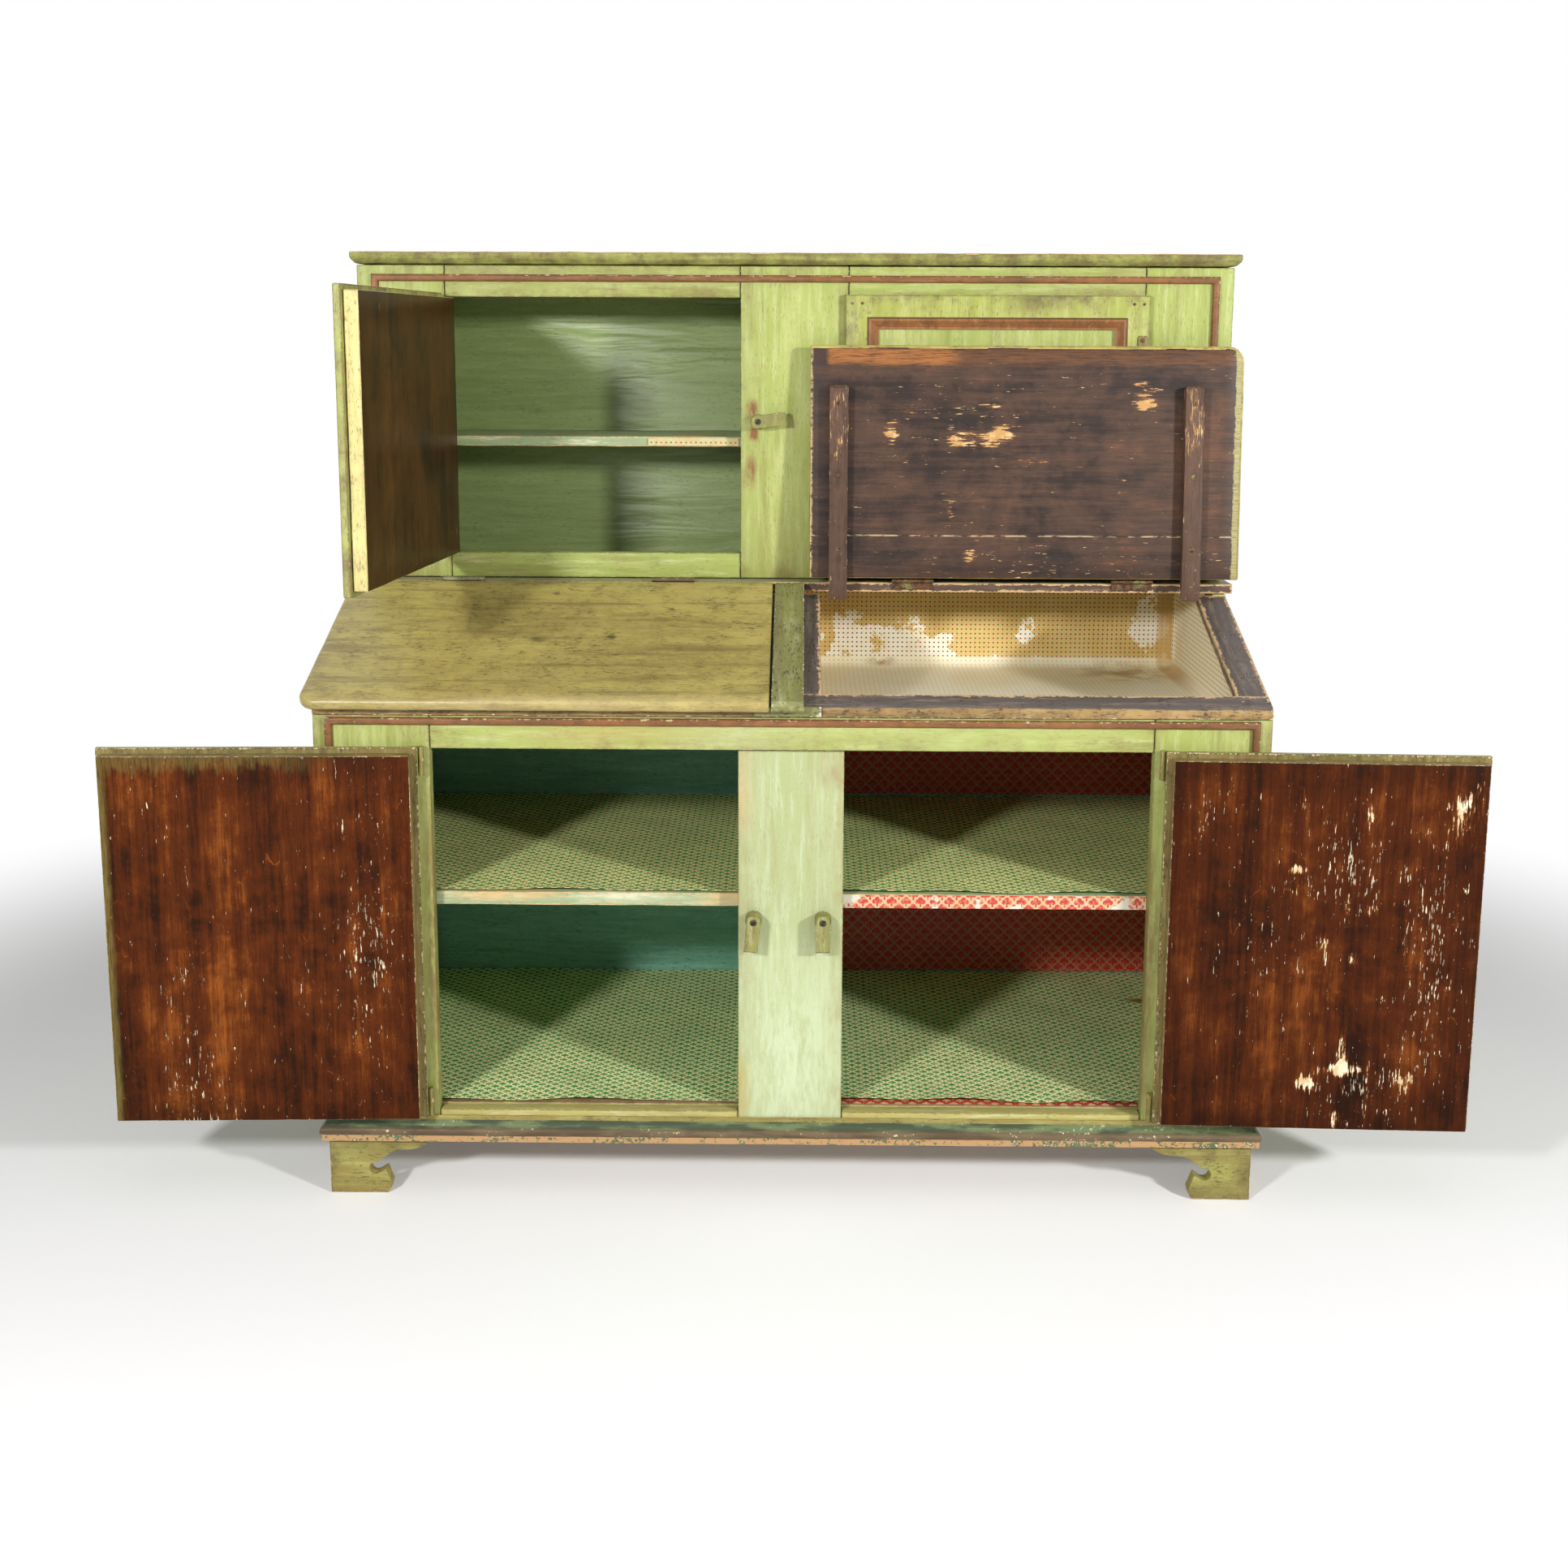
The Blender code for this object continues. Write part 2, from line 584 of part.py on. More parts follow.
for name, x in (("batten_inner", lid_inner + BATTEN_IN), ("batten_outer", outer_x)):
    mesh = prism_mesh(name, batten_outline, "x", x - BATTEN_WIDE / 2, x + BATTEN_WIDE / 2)
    turn(mesh, lid_pin, -LID_TRAVEL, "X")
    hang(finish(name, mesh, STAIN), lid_pin)

# Hinges of the right lid: a leaf on the front edge of the ledge and a barrel on its top
for name, x in (("lid_hinge_inner", lid_inner + LID_HINGE_IN), ("lid_hinge_outer", lid_outer - LID_HINGE_IN)):
    leaf = block_mesh(name, x - LID_HINGE_LONG / 2, x + LID_HINGE_LONG / 2, SLOPE_RUN - FIT - LEAF_THICK,
                      SLOPE_RUN - FIT, ledge_top - LID_LEAF_HIGH, pin_z)
    hinge = finish(name, leaf, IRON, 0.6, 0.8)
    place = Matrix.Translation((x, pin_y, pin_z)) @ Matrix.Rotation(math.pi / 2, 4, "Y")
    rod = rod_mesh(name + "_barrel", LID_BARREL_RADIUS, LID_HINGE_LONG + 0.002, place)
    joined(hinge, finish(name + "_barrel", rod, IRON, cutter=True))

# Doors: an inset board with a lipped frame on its front, drawn closed and then swung open


def door(word, hinge_side, low, high, floor, ceiling, face, pin, angle):
    board = block_mesh("door_board_" + word, low + DOOR_CLEAR, high - DOOR_CLEAR,
                       face - DOOR_EASE + FIT, face + BOARD - DOOR_EASE + FIT, floor + DOOR_CLEAR,
                       ceiling - DOOR_CLEAR)
    x0, x1 = low - DOOR_LAP, high + DOOR_LAP
    z0, z1 = floor - DOOR_LAP, ceiling + DOOR_LAP
    ring = [(x0, z0), (x1, z0), (x1, z1), (x0, z1)]
    window = [(x0 + LIP_WIDE, z0 + LIP_WIDE), (x1 - LIP_WIDE, z0 + LIP_WIDE),
              (x1 - LIP_WIDE, z1 - LIP_WIDE), (x0 + LIP_WIDE, z1 - LIP_WIDE)]
    lip = prism_mesh("door_lip_" + word, ring, "y", face - DOOR_EASE - LIP_THICK, face - DOOR_EASE, window)
    for mesh, name, colour in ((board, "door_board_", STAIN), (lip, "door_lip_", GREEN)):
        turn(mesh, pin, angle * (-1 if hinge_side == "left" else 1), "Z")
        hang(finish(name + word, mesh, colour, 0.5), pin)


def hinge(name, side, x, y, low_end, high_end):
    """A leaf on the front of a stile, a web and a barrel, for a door hung on that stile."""
    edge = x - side * 0.0015
    far = x + side * LEAF_WIDE
    face = y + BARREL_OUT
    leaf = finish(name, block_mesh(name, min(edge, far), max(edge, far), face - FIT - LEAF_THICK, face - FIT,
                                   low_end + 0.002, high_end - 0.002), IRON, 0.6, 0.8)
    web = block_mesh(name + "_web", x - WEB_THICK / 2, x + WEB_THICK / 2, y, face - FIT - 0.0004, low_end + 0.003,
                     high_end - 0.003)
    joined(leaf, finish(name + "_web", web, IRON, cutter=True))
    place = Matrix.Translation((x, y, (low_end + high_end) / 2))
    rod = rod_mesh(name + "_barrel", BARREL_RADIUS, high_end - low_end, place)
    joined(leaf, finish(name + "_barrel", rod, IRON, cutter=True))


for side, word in ((-1, "left"), (1, "right")):
    pin = (side * lower_pin_x, -BARREL_OUT, SILL_TOP)
    span = (-base_x, -base_c) if side < 0 else (base_c, base_x)
    door("lower_" + word, word, *span, SILL_TOP, base_opening_top, 0, pin, LOWER_OPEN)
    low_end = SILL_TOP - DOOR_LAP
    high_end = base_opening_top + DOOR_LAP
    hinge("hinge_lower_" + word + "_bottom", side, pin[0], pin[1], low_end, low_end + BARREL_LONG)
    hinge("hinge_lower_" + word + "_top", side, pin[0], pin[1], high_end - BARREL_LONG, high_end)

upper_pin = (-upper_pin_x, UPPER_SET_BACK - BARREL_OUT, upper_opening_low)
door("upper_left", "left", -upper_x, -upper_c, upper_opening_low, upper_opening_top, UPPER_SET_BACK, upper_pin,
     UPPER_OPEN)
door("upper_right", "right", upper_c, upper_x, upper_opening_low, upper_opening_top, UPPER_SET_BACK,
     (upper_pin_x, UPPER_SET_BACK - BARREL_OUT, upper_opening_low), 0)
end_low = upper_opening_low + UPPER_HINGE_IN
end_high = upper_opening_top - UPPER_HINGE_IN
hinge("hinge_upper_left_bottom", -1, upper_pin[0], upper_pin[1], end_low, end_low + BARREL_LONG)
hinge("hinge_upper_left_top", -1, upper_pin[0], upper_pin[1], end_high - BARREL_LONG, end_high)

# Turn buttons: a bar on a round spacer disc, turned about its screw


def button(name, x, face, z, angle):
    radius = BUTTON_WIDE / 2
    outline = [(BUTTON_LONG, -radius), (BUTTON_LONG, radius)]
    for k in range(9):
        a = math.radians(90 + 22.5 * k)
        outline.append((1.2 * radius * math.cos(a), radius * math.sin(a)))
    bar_back = face - FIT - DISC_STANDS
    bar = prism_mesh(name, outline, "y", bar_back - BUTTON_THICK, bar_back + 0.001)
    bar.transform(Matrix.Translation((x, 0, z)))
    turn(bar, (x, 0, z), -angle, "Y")
    obj = finish(name, bar, OLIVE)
    place = Matrix.Translation((x, face - FIT - DISC_STANDS / 2, z)) @ Matrix.Rotation(math.pi / 2, 4, "X")
    disc = finish(name + "_disc", rod_mesh(name + "_disc", DISC_RADIUS, DISC_STANDS, place, 20), OLIVE, cutter=True)
    hang(obj, (x, face, z))
    joined(obj, disc)


button("button_lower_left", -base_c + LEFT_BUTTON_IN, 0, SILL_TOP + LOWER_BUTTON_RISE, LEFT_BUTTON_TURN)
button("button_lower_right", base_c - RIGHT_BUTTON_IN, 0, SILL_TOP + LOWER_BUTTON_RISE, RIGHT_BUTTON_TURN)
button("button_upper_left", -upper_c + UPPER_BUTTON_IN, UPPER_SET_BACK, ledge_top + UPPER_BUTTON_RISE,
       UPPER_BUTTON_TURN)
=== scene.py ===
# %% [markdown]
# A slant-top bin sideboard, as a lesson in looks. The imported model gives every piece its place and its
# joint, and this file gives each piece its eased edges, its mouldings, its linings and its worn paint.
# All sizes are in metres: X runs to the viewer's right, Y to the back and Z up.

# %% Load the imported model
import json
import math
from types import SimpleNamespace

import bmesh
import bpy
from mathutils import Euler, Matrix, Vector


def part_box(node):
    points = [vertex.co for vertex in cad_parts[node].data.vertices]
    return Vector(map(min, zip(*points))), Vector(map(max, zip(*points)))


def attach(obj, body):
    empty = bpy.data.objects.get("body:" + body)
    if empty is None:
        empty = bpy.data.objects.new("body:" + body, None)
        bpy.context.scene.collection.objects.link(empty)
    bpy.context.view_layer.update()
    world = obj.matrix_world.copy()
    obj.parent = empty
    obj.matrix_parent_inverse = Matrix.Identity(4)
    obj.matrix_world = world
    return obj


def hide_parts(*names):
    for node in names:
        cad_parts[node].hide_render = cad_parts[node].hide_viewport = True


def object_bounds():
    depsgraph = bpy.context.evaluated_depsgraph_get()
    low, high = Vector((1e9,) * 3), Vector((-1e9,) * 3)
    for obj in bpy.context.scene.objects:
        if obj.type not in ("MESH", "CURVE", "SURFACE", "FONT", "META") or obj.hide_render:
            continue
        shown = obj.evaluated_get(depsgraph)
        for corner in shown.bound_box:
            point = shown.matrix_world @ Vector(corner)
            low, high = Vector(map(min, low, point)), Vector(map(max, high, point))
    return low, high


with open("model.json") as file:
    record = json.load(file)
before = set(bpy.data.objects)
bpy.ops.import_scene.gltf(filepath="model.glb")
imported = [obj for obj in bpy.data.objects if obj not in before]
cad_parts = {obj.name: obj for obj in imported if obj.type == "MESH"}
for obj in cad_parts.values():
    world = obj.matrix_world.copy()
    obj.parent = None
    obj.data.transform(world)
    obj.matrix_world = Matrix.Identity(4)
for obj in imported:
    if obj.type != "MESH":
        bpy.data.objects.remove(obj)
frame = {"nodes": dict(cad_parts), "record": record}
cad_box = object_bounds()
body_of = {}
for body, members in frame["record"]["behaviour"]["bodies"].items():
    for member in members:
        body_of[member] = body
slot_of = {row["node"]: row["material_slot"] for row in frame["record"]["subparts"]}
bpy.ops.object.select_all(action="DESELECT")

# %% [markdown]
# Some boards stand at a slant: the lids, the strip between them, and the three open doors. A finish is
# easier to think of on an upright board, so each slant is kept here as a small turn about X and about Z
# that would set the board square again. The slope comes from the rise and run of the side boards. The
# planes of the two front faces are kept here as well, because the doors, the beads and the nails all lie
# on them.

# %% Slants of the boards
SLOPE = math.atan2(0.119, 0.322)
SQUARE = (0.0, 0.0)
ON_SLOPE = (-SLOPE, 0.0)
LEANING = (0.069065, 0.0)
LEFT_AJAR = (0.0, math.radians(-2))
RIGHT_AJAR = (0.0, math.radians(2))
UPPER_AJAR = (0.0, math.radians(4.5))
FACE = -0.235387
UPPER_FACE = 0.122613
print("slope of the lids:", round(math.degrees(SLOPE), 2))

# %% [markdown]
# Operators act on whatever is selected, so every step starts by making one piece the only selected one.
# Faces, edges and points are then picked by a test on their place, which is how a hand would pick them
# too.

# %% Selecting and modifying


def link(piece):
    bpy.context.scene.collection.objects.link(piece)
    return piece


def alone(piece):
    """Make one piece the only selected and active one."""
    bpy.ops.object.select_all(action="DESELECT")
    piece.select_set(True)
    bpy.context.view_layer.objects.active = piece


def edit(piece):
    alone(piece)
    bpy.ops.object.mode_set(mode="EDIT")


def done():
    bpy.ops.object.mode_set(mode="OBJECT")


def everything():
    bpy.ops.mesh.select_all(action="SELECT")


def face_out():
    """In edit mode, turn all faces outwards."""
    everything()
    bpy.ops.mesh.normals_make_consistent(inside=False)


def pick(piece, kind, test):
    """In edit mode, select the faces, edges or points that pass a test."""
    bpy.ops.mesh.select_mode(type=kind)
    bpy.ops.mesh.select_all(action="DESELECT")
    mesh = bmesh.from_edit_mesh(piece.data)
    for item in {"FACE": mesh.faces, "EDGE": mesh.edges, "VERT": mesh.verts}[kind]:
        if test(item):
            item.select_set(True)
    bmesh.update_edit_mesh(piece.data)


def added(operator, name, size, where=(0, 0, 0), **settings):
    """Add a primitive of size one, name it and stretch it to its own size."""
    bpy.ops.object.select_all(action="DESELECT")
    operator(size=1, location=where, **settings)
    piece = bpy.context.object
    piece.name = name
    piece.scale = size
    bpy.ops.object.transform_apply(location=True, rotation=True, scale=True)
    return piece


def modify(piece, kind, **settings):
    """Add a modifier, set it and apply it."""
    alone(piece)
    step = piece.modifiers.new(kind.lower(), kind)
    for key, value in settings.items():
        setattr(step, key, value)
    bpy.ops.object.modifier_apply(modifier=step.name)


def bevelled(piece, width, segments=2, angle=25):
    """Bevel the edges that are sharper than an angle in degrees."""
    modify(piece, "BEVEL", width=width, segments=segments, limit_method="ANGLE",
           angle_limit=math.radians(angle))


SMOOTH_BELOW = 32


def settle(piece, body, slot, *nodes):
    """Put a finished piece's place into its mesh and let it ride on its body."""
    alone(piece)
    bpy.ops.object.transform_apply(location=True, rotation=True, scale=True)
    bpy.ops.object.shade_smooth_by_angle(angle=math.radians(SMOOTH_BELOW))
    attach(piece, body)
    if nodes:
        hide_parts(*nodes)
    return piece


# %% [markdown]
# Old boards have no sharp edges: a plane took them off, and a century of hands wore them down. A copy of
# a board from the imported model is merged, gets a small bevel, and where it is handled most it is also cut
# into slices and pushed inwards by a soft cloud pattern, so that its edges waver. Pushing only inwards
# keeps the board inside its own place. A bump in the finish could do part of this, but not the outline.

# %% Eased and nicked boards
SAME_POINT = 0.00002
wear_cloud = bpy.data.textures.new("hand_wear", "CLOUDS")
wear_cloud.noise_scale = 0.035
wear_cloud.noise_depth = 3


def copied(node, name):
    """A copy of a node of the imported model, with its points merged and its flat faces made whole."""
    piece = link(bpy.data.objects.new(name, frame["nodes"][node].data.copy()))
    piece.data.materials.clear()
    edit(piece)
    everything()
    bpy.ops.mesh.remove_doubles(threshold=SAME_POINT)
    bpy.ops.mesh.dissolve_limited(angle_limit=math.radians(0.5))
    done()
    return piece


def sliced(piece, every):
    """Cut a piece across its longer sides, so that its edges can waver."""
    spots = [v.co for v in piece.data.vertices]
    edit(piece)
    for axis in range(3):
        low = min(s[axis] for s in spots)
        high = max(s[axis] for s in spots)
        parts = int((high - low) / every)
        for k in range(1, parts):
            where = Vector((0, 0, 0))
            where[axis] = low + k * (high - low) / parts
            across = Vector((0, 0, 0))
            across[axis] = 1
            everything()
            bpy.ops.mesh.bisect(plane_co=where, plane_no=across)
    done()


def nicked(piece, deep, every=0.03):
    """Slice a piece and push its surface inwards by a cloud pattern."""
    sliced(piece, every)
    modify(piece, "DISPLACE", texture=wear_cloud, texture_coords="LOCAL", strength=deep, mid_level=1.0)


def eased(node, width, nick=0.0, segments=2, every=0.03):
    """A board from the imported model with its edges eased, ready for its finish."""
    piece = copied(node, node + "_worn")
    bevelled(piece, width, segments)
    if nick:
        nicked(piece, nick, every)
    return settle(piece, body_of[node], slot_of[node], node)


print("size of the wear:", round(wear_cloud.noise_scale, 3))

# %% [markdown]
# How much a board has lost depends on where it sits. Sides and floors inside the carcass are almost
# sharp, frame boards are a little worn, and shelves, rims and lids, which are handled daily, are worn
# most. The ends of the two battens under the open lid were rounded on purpose, so they get a wide bevel
# first.

# %% Boards and battens


def named(start):
    """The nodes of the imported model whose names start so."""
    return [node for node in slot_of if node.startswith(start)]


def is_end(edge, height, near=0.004):
    """Whether an edge runs from front to back at the end of an upright piece."""
    a, b = (v.co for v in edge.verts)
    return abs(a.x - b.x) < 0.001 and abs(a.y - b.y) > 0.01 and abs((a.z + b.z) / 2 - height) < near


EASED = (
    (("side_", "back_panel", "base_floor", "bin_floor", "base_partition", "bin_divider"), dict(width=0.0010)),
    (("base_stile", "base_rail", "upper_stile", "upper_rail"), dict(width=0.0013, nick=0.0009)),
    (("lower_shelf", "upper_shelf", "ledge", "rim_left", "rim_right", "rim_centre", "rim_front", "cross_strip"),
     dict(width=0.0022, nick=0.0022, segments=3)),
    (("foot_",), dict(width=0.0016, nick=0.0012, every=0.02)),
    (("lid_left", "lid_right"), dict(width=0.0030, nick=0.0018, segments=3)),
    (("door_board_",), dict(width=0.0018, nick=0.0012, segments=3)),
    (("top_board",), dict(width=0.0030, nick=0.0022, segments=3, every=0.02)),
)
boards = {}
for starts, amounts in EASED:
    for start in starts:
        for node in named(start):
            boards[node] = eased(node, **amounts)
for node in named("batten_"):
    batten = copied(node, node + "_worn")
    low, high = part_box(node)
    edit(batten)
    for end, offset, segments in ((low.z, 0.0105, 5), (high.z, 0.0060, 4)):
        pick(batten, "EDGE", lambda e: is_end(e, end))
        bpy.ops.mesh.bevel(offset=offset, segments=segments, profile=0.5, affect="EDGES")
    done()
    bevelled(batten, 0.0020, 3, 40)
    nicked(batten, 0.0020)
    boards[node] = settle(batten, body_of[node], slot_of[node], node)
print("eased boards:", len(boards))

# %% [markdown]
# The plinth and the two brown frames are mouldings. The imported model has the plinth's profile already, so
# a fine bevel is enough there. The frames are square strips in it, and the real ones are rounded on their
# front, so their front edges get a wide round bevel before the small nicks.

# %% Plinth and beads
BEAD_RISE = 0.0073
BEAD_ROUND = 0.0046
boards["plinth"] = eased("plinth", 0.0009, 0.0012, 2, 0.02)
for node, front in (("base_bead", FACE - BEAD_RISE), ("upper_bead", UPPER_FACE - BEAD_RISE)):
    strip = copied(node, node + "_worn")
    edit(strip)
    pick(strip, "EDGE", lambda e, y=front: all(abs(v.co.y - y) < 0.0004 for v in e.verts))
    bpy.ops.mesh.bevel(offset=BEAD_ROUND, segments=5, profile=0.5, affect="EDGES")
    done()
    nicked(strip, 0.0009, 0.025)
    boards[node] = settle(strip, body_of[node], slot_of[node], node)
print("beads:", [len(boards[n].data.polygons) for n in ("base_bead", "upper_bead")])

# %% [markdown]
# Each door has a lipped frame on its front: a flat border with a rounded outer edge, then a hollow and
# round moulding that falls to the panel. One flat face at the size of the frame, inset again and again
# with a little depth each time, draws that whole profile with mitred corners. The middle is then cut
# away, and both open edges are drawn back to the board. The frame is drawn shut and then swung with its
# door.

# %% Moulded door frames
LIP_PROFILE = ((0.0012, 0.0016), (0.0022, 0.0010), (0.0316, 0.0), (0.0012, -0.0016), (0.0022, 0.0014),
               (0.0026, 0.0006), (0.0030, -0.0022), (0.0030, -0.0034), (0.0040, -0.0026), (0.0034, 0.0))
LIP_BACK = 0.0026
LIP_DEEP = 0.012
UPRIGHT = (math.pi / 2, 0, 0)


def moulded_frame(name, x0, x1, z0, z1, front):
    piece = added(bpy.ops.mesh.primitive_plane_add, name, (x1 - x0, z1 - z0, 1),
                  ((x0 + x1) / 2, front + LIP_BACK, (z0 + z1) / 2), rotation=UPRIGHT)
    edit(piece)
    everything()
    for wide, deep in LIP_PROFILE:
        bpy.ops.mesh.inset(thickness=wide, depth=deep)
    bpy.ops.mesh.delete(type="FACE")
    pick(piece, "EDGE", lambda e: e.is_boundary)
    bpy.ops.mesh.extrude_region_move()
    bpy.ops.transform.resize(value=(1, 0, 1), center_override=(0, front + LIP_DEEP, 0))
    pick(piece, "EDGE", lambda e: e.is_boundary)
    bpy.ops.mesh.bridge_edge_loops()
    everything()
    bpy.ops.mesh.remove_doubles(threshold=SAME_POINT)
    face_out()
    done()
    return piece


LIP_RISE = 0.0126
PIN_RISE = 0.010
LOW = (0.131, 0.702, FACE - LIP_RISE)
HIGH = (0.9377, 1.3594, UPPER_FACE - LIP_RISE)
DOORS = {
    "lower_left": ((-0.535, -0.072, *LOW), (-0.5395, FACE - PIN_RISE, 0), -178),
    "lower_right": ((0.072, 0.535, *LOW), (0.5395, FACE - PIN_RISE, 0), 178),
    "upper_left": ((-0.566, -0.0805, *HIGH), (-0.5705, UPPER_FACE - PIN_RISE, 0), -94.5),
    "upper_right": ((0.0805, 0.566, *HIGH), (0.5705, UPPER_FACE - PIN_RISE, 0), 0),
}


def swung(word):
    """The turn that carries a piece drawn on a shut door to the door's place at rest."""
    pin, angle = DOORS[word][1:]
    to_pin = Matrix.Translation(pin)
    return to_pin @ Matrix.Rotation(math.radians(angle), 4, "Z") @ to_pin.inverted()


for word in DOORS:
    node = "door_lip_" + word
    lip = moulded_frame(node + "_worn", *DOORS[word][0])
    nicked(lip, 0.0006, 0.03)
    lip.data.transform(swung(word))
    boards[node] = settle(lip, body_of[node], slot_of[node], node)
print("door frames:", [len(boards["door_lip_" + w].data.polygons) for w in DOORS])

# %% [markdown]
# A screw is a low dome with a slot cut across it: a short cylinder whose top is inset, raised and split.
# A nail is the same thing, smaller. Each is modelled once, and every copy of it is turned to its own
# place.

# %% Screws and their copies


def screw_head(name, radius):
    bpy.ops.object.select_all(action="DESELECT")
    bpy.ops.mesh.primitive_cylinder_add(vertices=20, radius=radius, depth=0.0012, location=(0, 0, 0.0006))
    piece = bpy.context.object
    piece.name = name
    edit(piece)
    pick(piece, "FACE", lambda f: f.normal.z > 0.9)
    bpy.ops.mesh.inset(thickness=radius * 0.3, depth=radius * 0.14)
    bpy.ops.mesh.inset(thickness=radius * 0.25, depth=radius * 0.06)
    for side in (-1, 1):
        everything()
        bpy.ops.mesh.bisect(plane_co=(0, side * radius * 0.14, 0), plane_no=(0, 1, 0))
    pick(piece, "FACE", lambda f: f.normal.z > 0.5 and abs(f.calc_center_median().y) < radius * 0.13)
    bpy.ops.mesh.extrude_region_move(TRANSFORM_OT_translate={"value": (0, 0, -radius * 0.28)})
    face_out()
    done()
    return piece


def again(piece):
    """A copy of a piece with a mesh of its own."""
    one = piece.copy()
    one.data = piece.data.copy()
    return link(one)


def joined(pieces, name):
    alone(pieces[0])
    for one in pieces:
        one.select_set(True)
    if len(pieces) > 1:
        bpy.ops.object.join()
    pieces[0].name = name
    return pieces[0]


def copies(pattern, name, spots, body):
    """Copies of one small piece, joined as one, each set at a place and turned from +Z to a direction."""
    made = []
    for where, way, roll in spots:
        one = again(pattern)
        turned = Vector(way).to_track_quat("Z", "Y").to_matrix().to_4x4()
        one.data.transform(Matrix.Translation(where) @ turned @ Matrix.Rotation(roll, 4, "Z"))
        made.append(one)
    return settle(joined(made, name), body, "iron")


small_screw = screw_head("screw_pattern", 0.0040)
print("faces of a screw:", len(small_screw.data.polygons))

# %% [markdown]
# The hinges are iron, painted over with the rest. Their barrels and frame leaves come from the packed
# model, and those of the left lid are copies of the right lid's. The leaves on the doors are new: a plate
# with clipped corners, modelled once, set on the shut door and swung with it.

# %% Hinges and leaves
LEAF_THICK = 0.0012
LEAF_IN = 0.0106
SCREW_IN = 0.0118
SCREW_UP = 0.012
TO_VIEWER = Vector((0, -1, 0))
LOW_HINGES = (0.153, 0.680)
HIGH_HINGES = (1.0207, 1.2764)
for node in [n for n in frame["nodes"] if "hinge" in n]:
    boards[node] = eased(node, 0.0004)
leaf = added(bpy.ops.mesh.primitive_plane_add, "leaf_pattern", (0.017, 0.040, 1), rotation=UPRIGHT)
edit(leaf)
everything()
bpy.ops.mesh.bevel(offset=0.003, segments=1, affect="VERTICES")
bpy.ops.mesh.extrude_region_move(TRANSFORM_OT_translate={"value": (0, LEAF_THICK, 0)})
face_out()
done()
bevelled(leaf, 0.0003, angle=30)

irons = {}
for word in DOORS:
    x0, x1, *_, front = DOORS[word][0]
    edge, way = (x0, 1) if word.endswith("left") else (x1, -1)
    turn = swung(word)
    body = body_of["door_lip_" + word]
    plates, heads = [], []
    for z in LOW_HINGES if "lower" in word else HIGH_HINGES:
        plate = again(leaf)
        plate.data.transform(Matrix.Translation((edge + way * LEAF_IN, front - LEAF_THICK, z)))
        plates.append(plate)
        for up in (-SCREW_UP, SCREW_UP):
            head = turn @ Vector((edge + way * SCREW_IN, front - 0.0010, z + up))
            heads.append((head, turn.to_3x3() @ TO_VIEWER, 0.6 + up * 40))
    leaves = joined(plates, "door_leaves_" + word)
    leaves.data.transform(turn)
    irons["leaves_" + word] = settle(leaves, body, "iron")
    irons["screws_" + word] = copies(small_screw, "leaf_screws_" + word, heads, body)
bpy.data.objects.remove(leaf)

for word, shift in (("inner", -0.387), ("outer", -1.079)):
    twin = copied("lid_hinge_" + word, "left_lid_hinge_" + word)
    bevelled(twin, 0.0004)
    twin.data.transform(Matrix.Translation((shift, 0, 0)))
    irons["left_lid_hinge_" + word] = settle(twin, "carcass", "iron")
print("iron pieces:", len(irons))

# %% [markdown]
# The turn buttons are cut from scraps of board and held by one screw each. The battens are screwed to the
# lid through their faces, and the upper right door's frame is nailed at its corners.

# %% Turn buttons and their screws
for node in named("button_"):
    boards[node] = eased(node, 0.0016, 0.0010, 3, 0.008)
BUTTON_RISE = 0.0241
BUTTON_PINS = {
    "button_lower_left": (-0.0545, FACE - BUTTON_RISE, 0.441),
    "button_lower_right": (0.048, FACE - BUTTON_RISE, 0.441),
    "button_upper_left": (-0.0575, UPPER_FACE - BUTTON_RISE, 1.1574),
}
button_screw = screw_head("button_screw_pattern", 0.0048)
for node, pin in BUTTON_PINS.items():
    irons[node] = copies(button_screw, node + "_screw", [(pin, TO_VIEWER, 0.8)], body_of[node])
BATTEN_FOOT = 0.885
NAIL_RISE = 0.0128
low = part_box("batten_inner")[0]
lean_turn = Matrix.Rotation(-LEANING[0], 3, "X")
heads = []
for x in (0.0715, 0.6335):
    for z in (0.960, 1.075, 1.190):
        y = low.y + 0.0006 + (z - BATTEN_FOOT) * math.tan(LEANING[0])
        heads.append(((x, y, z), lean_turn @ TO_VIEWER, z * 9))
irons["battens"] = copies(small_screw, "batten_screws", heads, body_of["batten_inner"])
heads = []
for x in (0.092, 0.108, 0.540, 0.556):
    for z in (0.952, 1.345):
        heads.append(((x, UPPER_FACE - NAIL_RISE, z), TO_VIEWER, x * 30))
small_nail = screw_head("nail_pattern", 0.0022)
irons["nails"] = copies(small_nail, "frame_nails", heads, "carcass")
for pattern in (small_screw, button_screw, small_nail):
    bpy.data.objects.remove(pattern)
print("buttons and screws:", sorted(irons))

# %% [markdown]
# The middle rim runs out over the front rim as a short worn block under the strip between the lids. A
# block is added at its size, its edges are rounded and it is nicked like the rest.

# %% End of the middle rim
rim_end = added(bpy.ops.mesh.primitive_cube_add, "rim_centre_end", (0.100, 0.0080, 0.0165),
                (-0.0055, -0.2425, 0.7560))
bevelled(rim_end, 0.0028, 3, 30)
nicked(rim_end, 0.0014, 0.012)
boards["rim_end"] = settle(rim_end, "carcass", "olive_paint")
print("end of the middle rim:", len(rim_end.data.polygons), "faces")

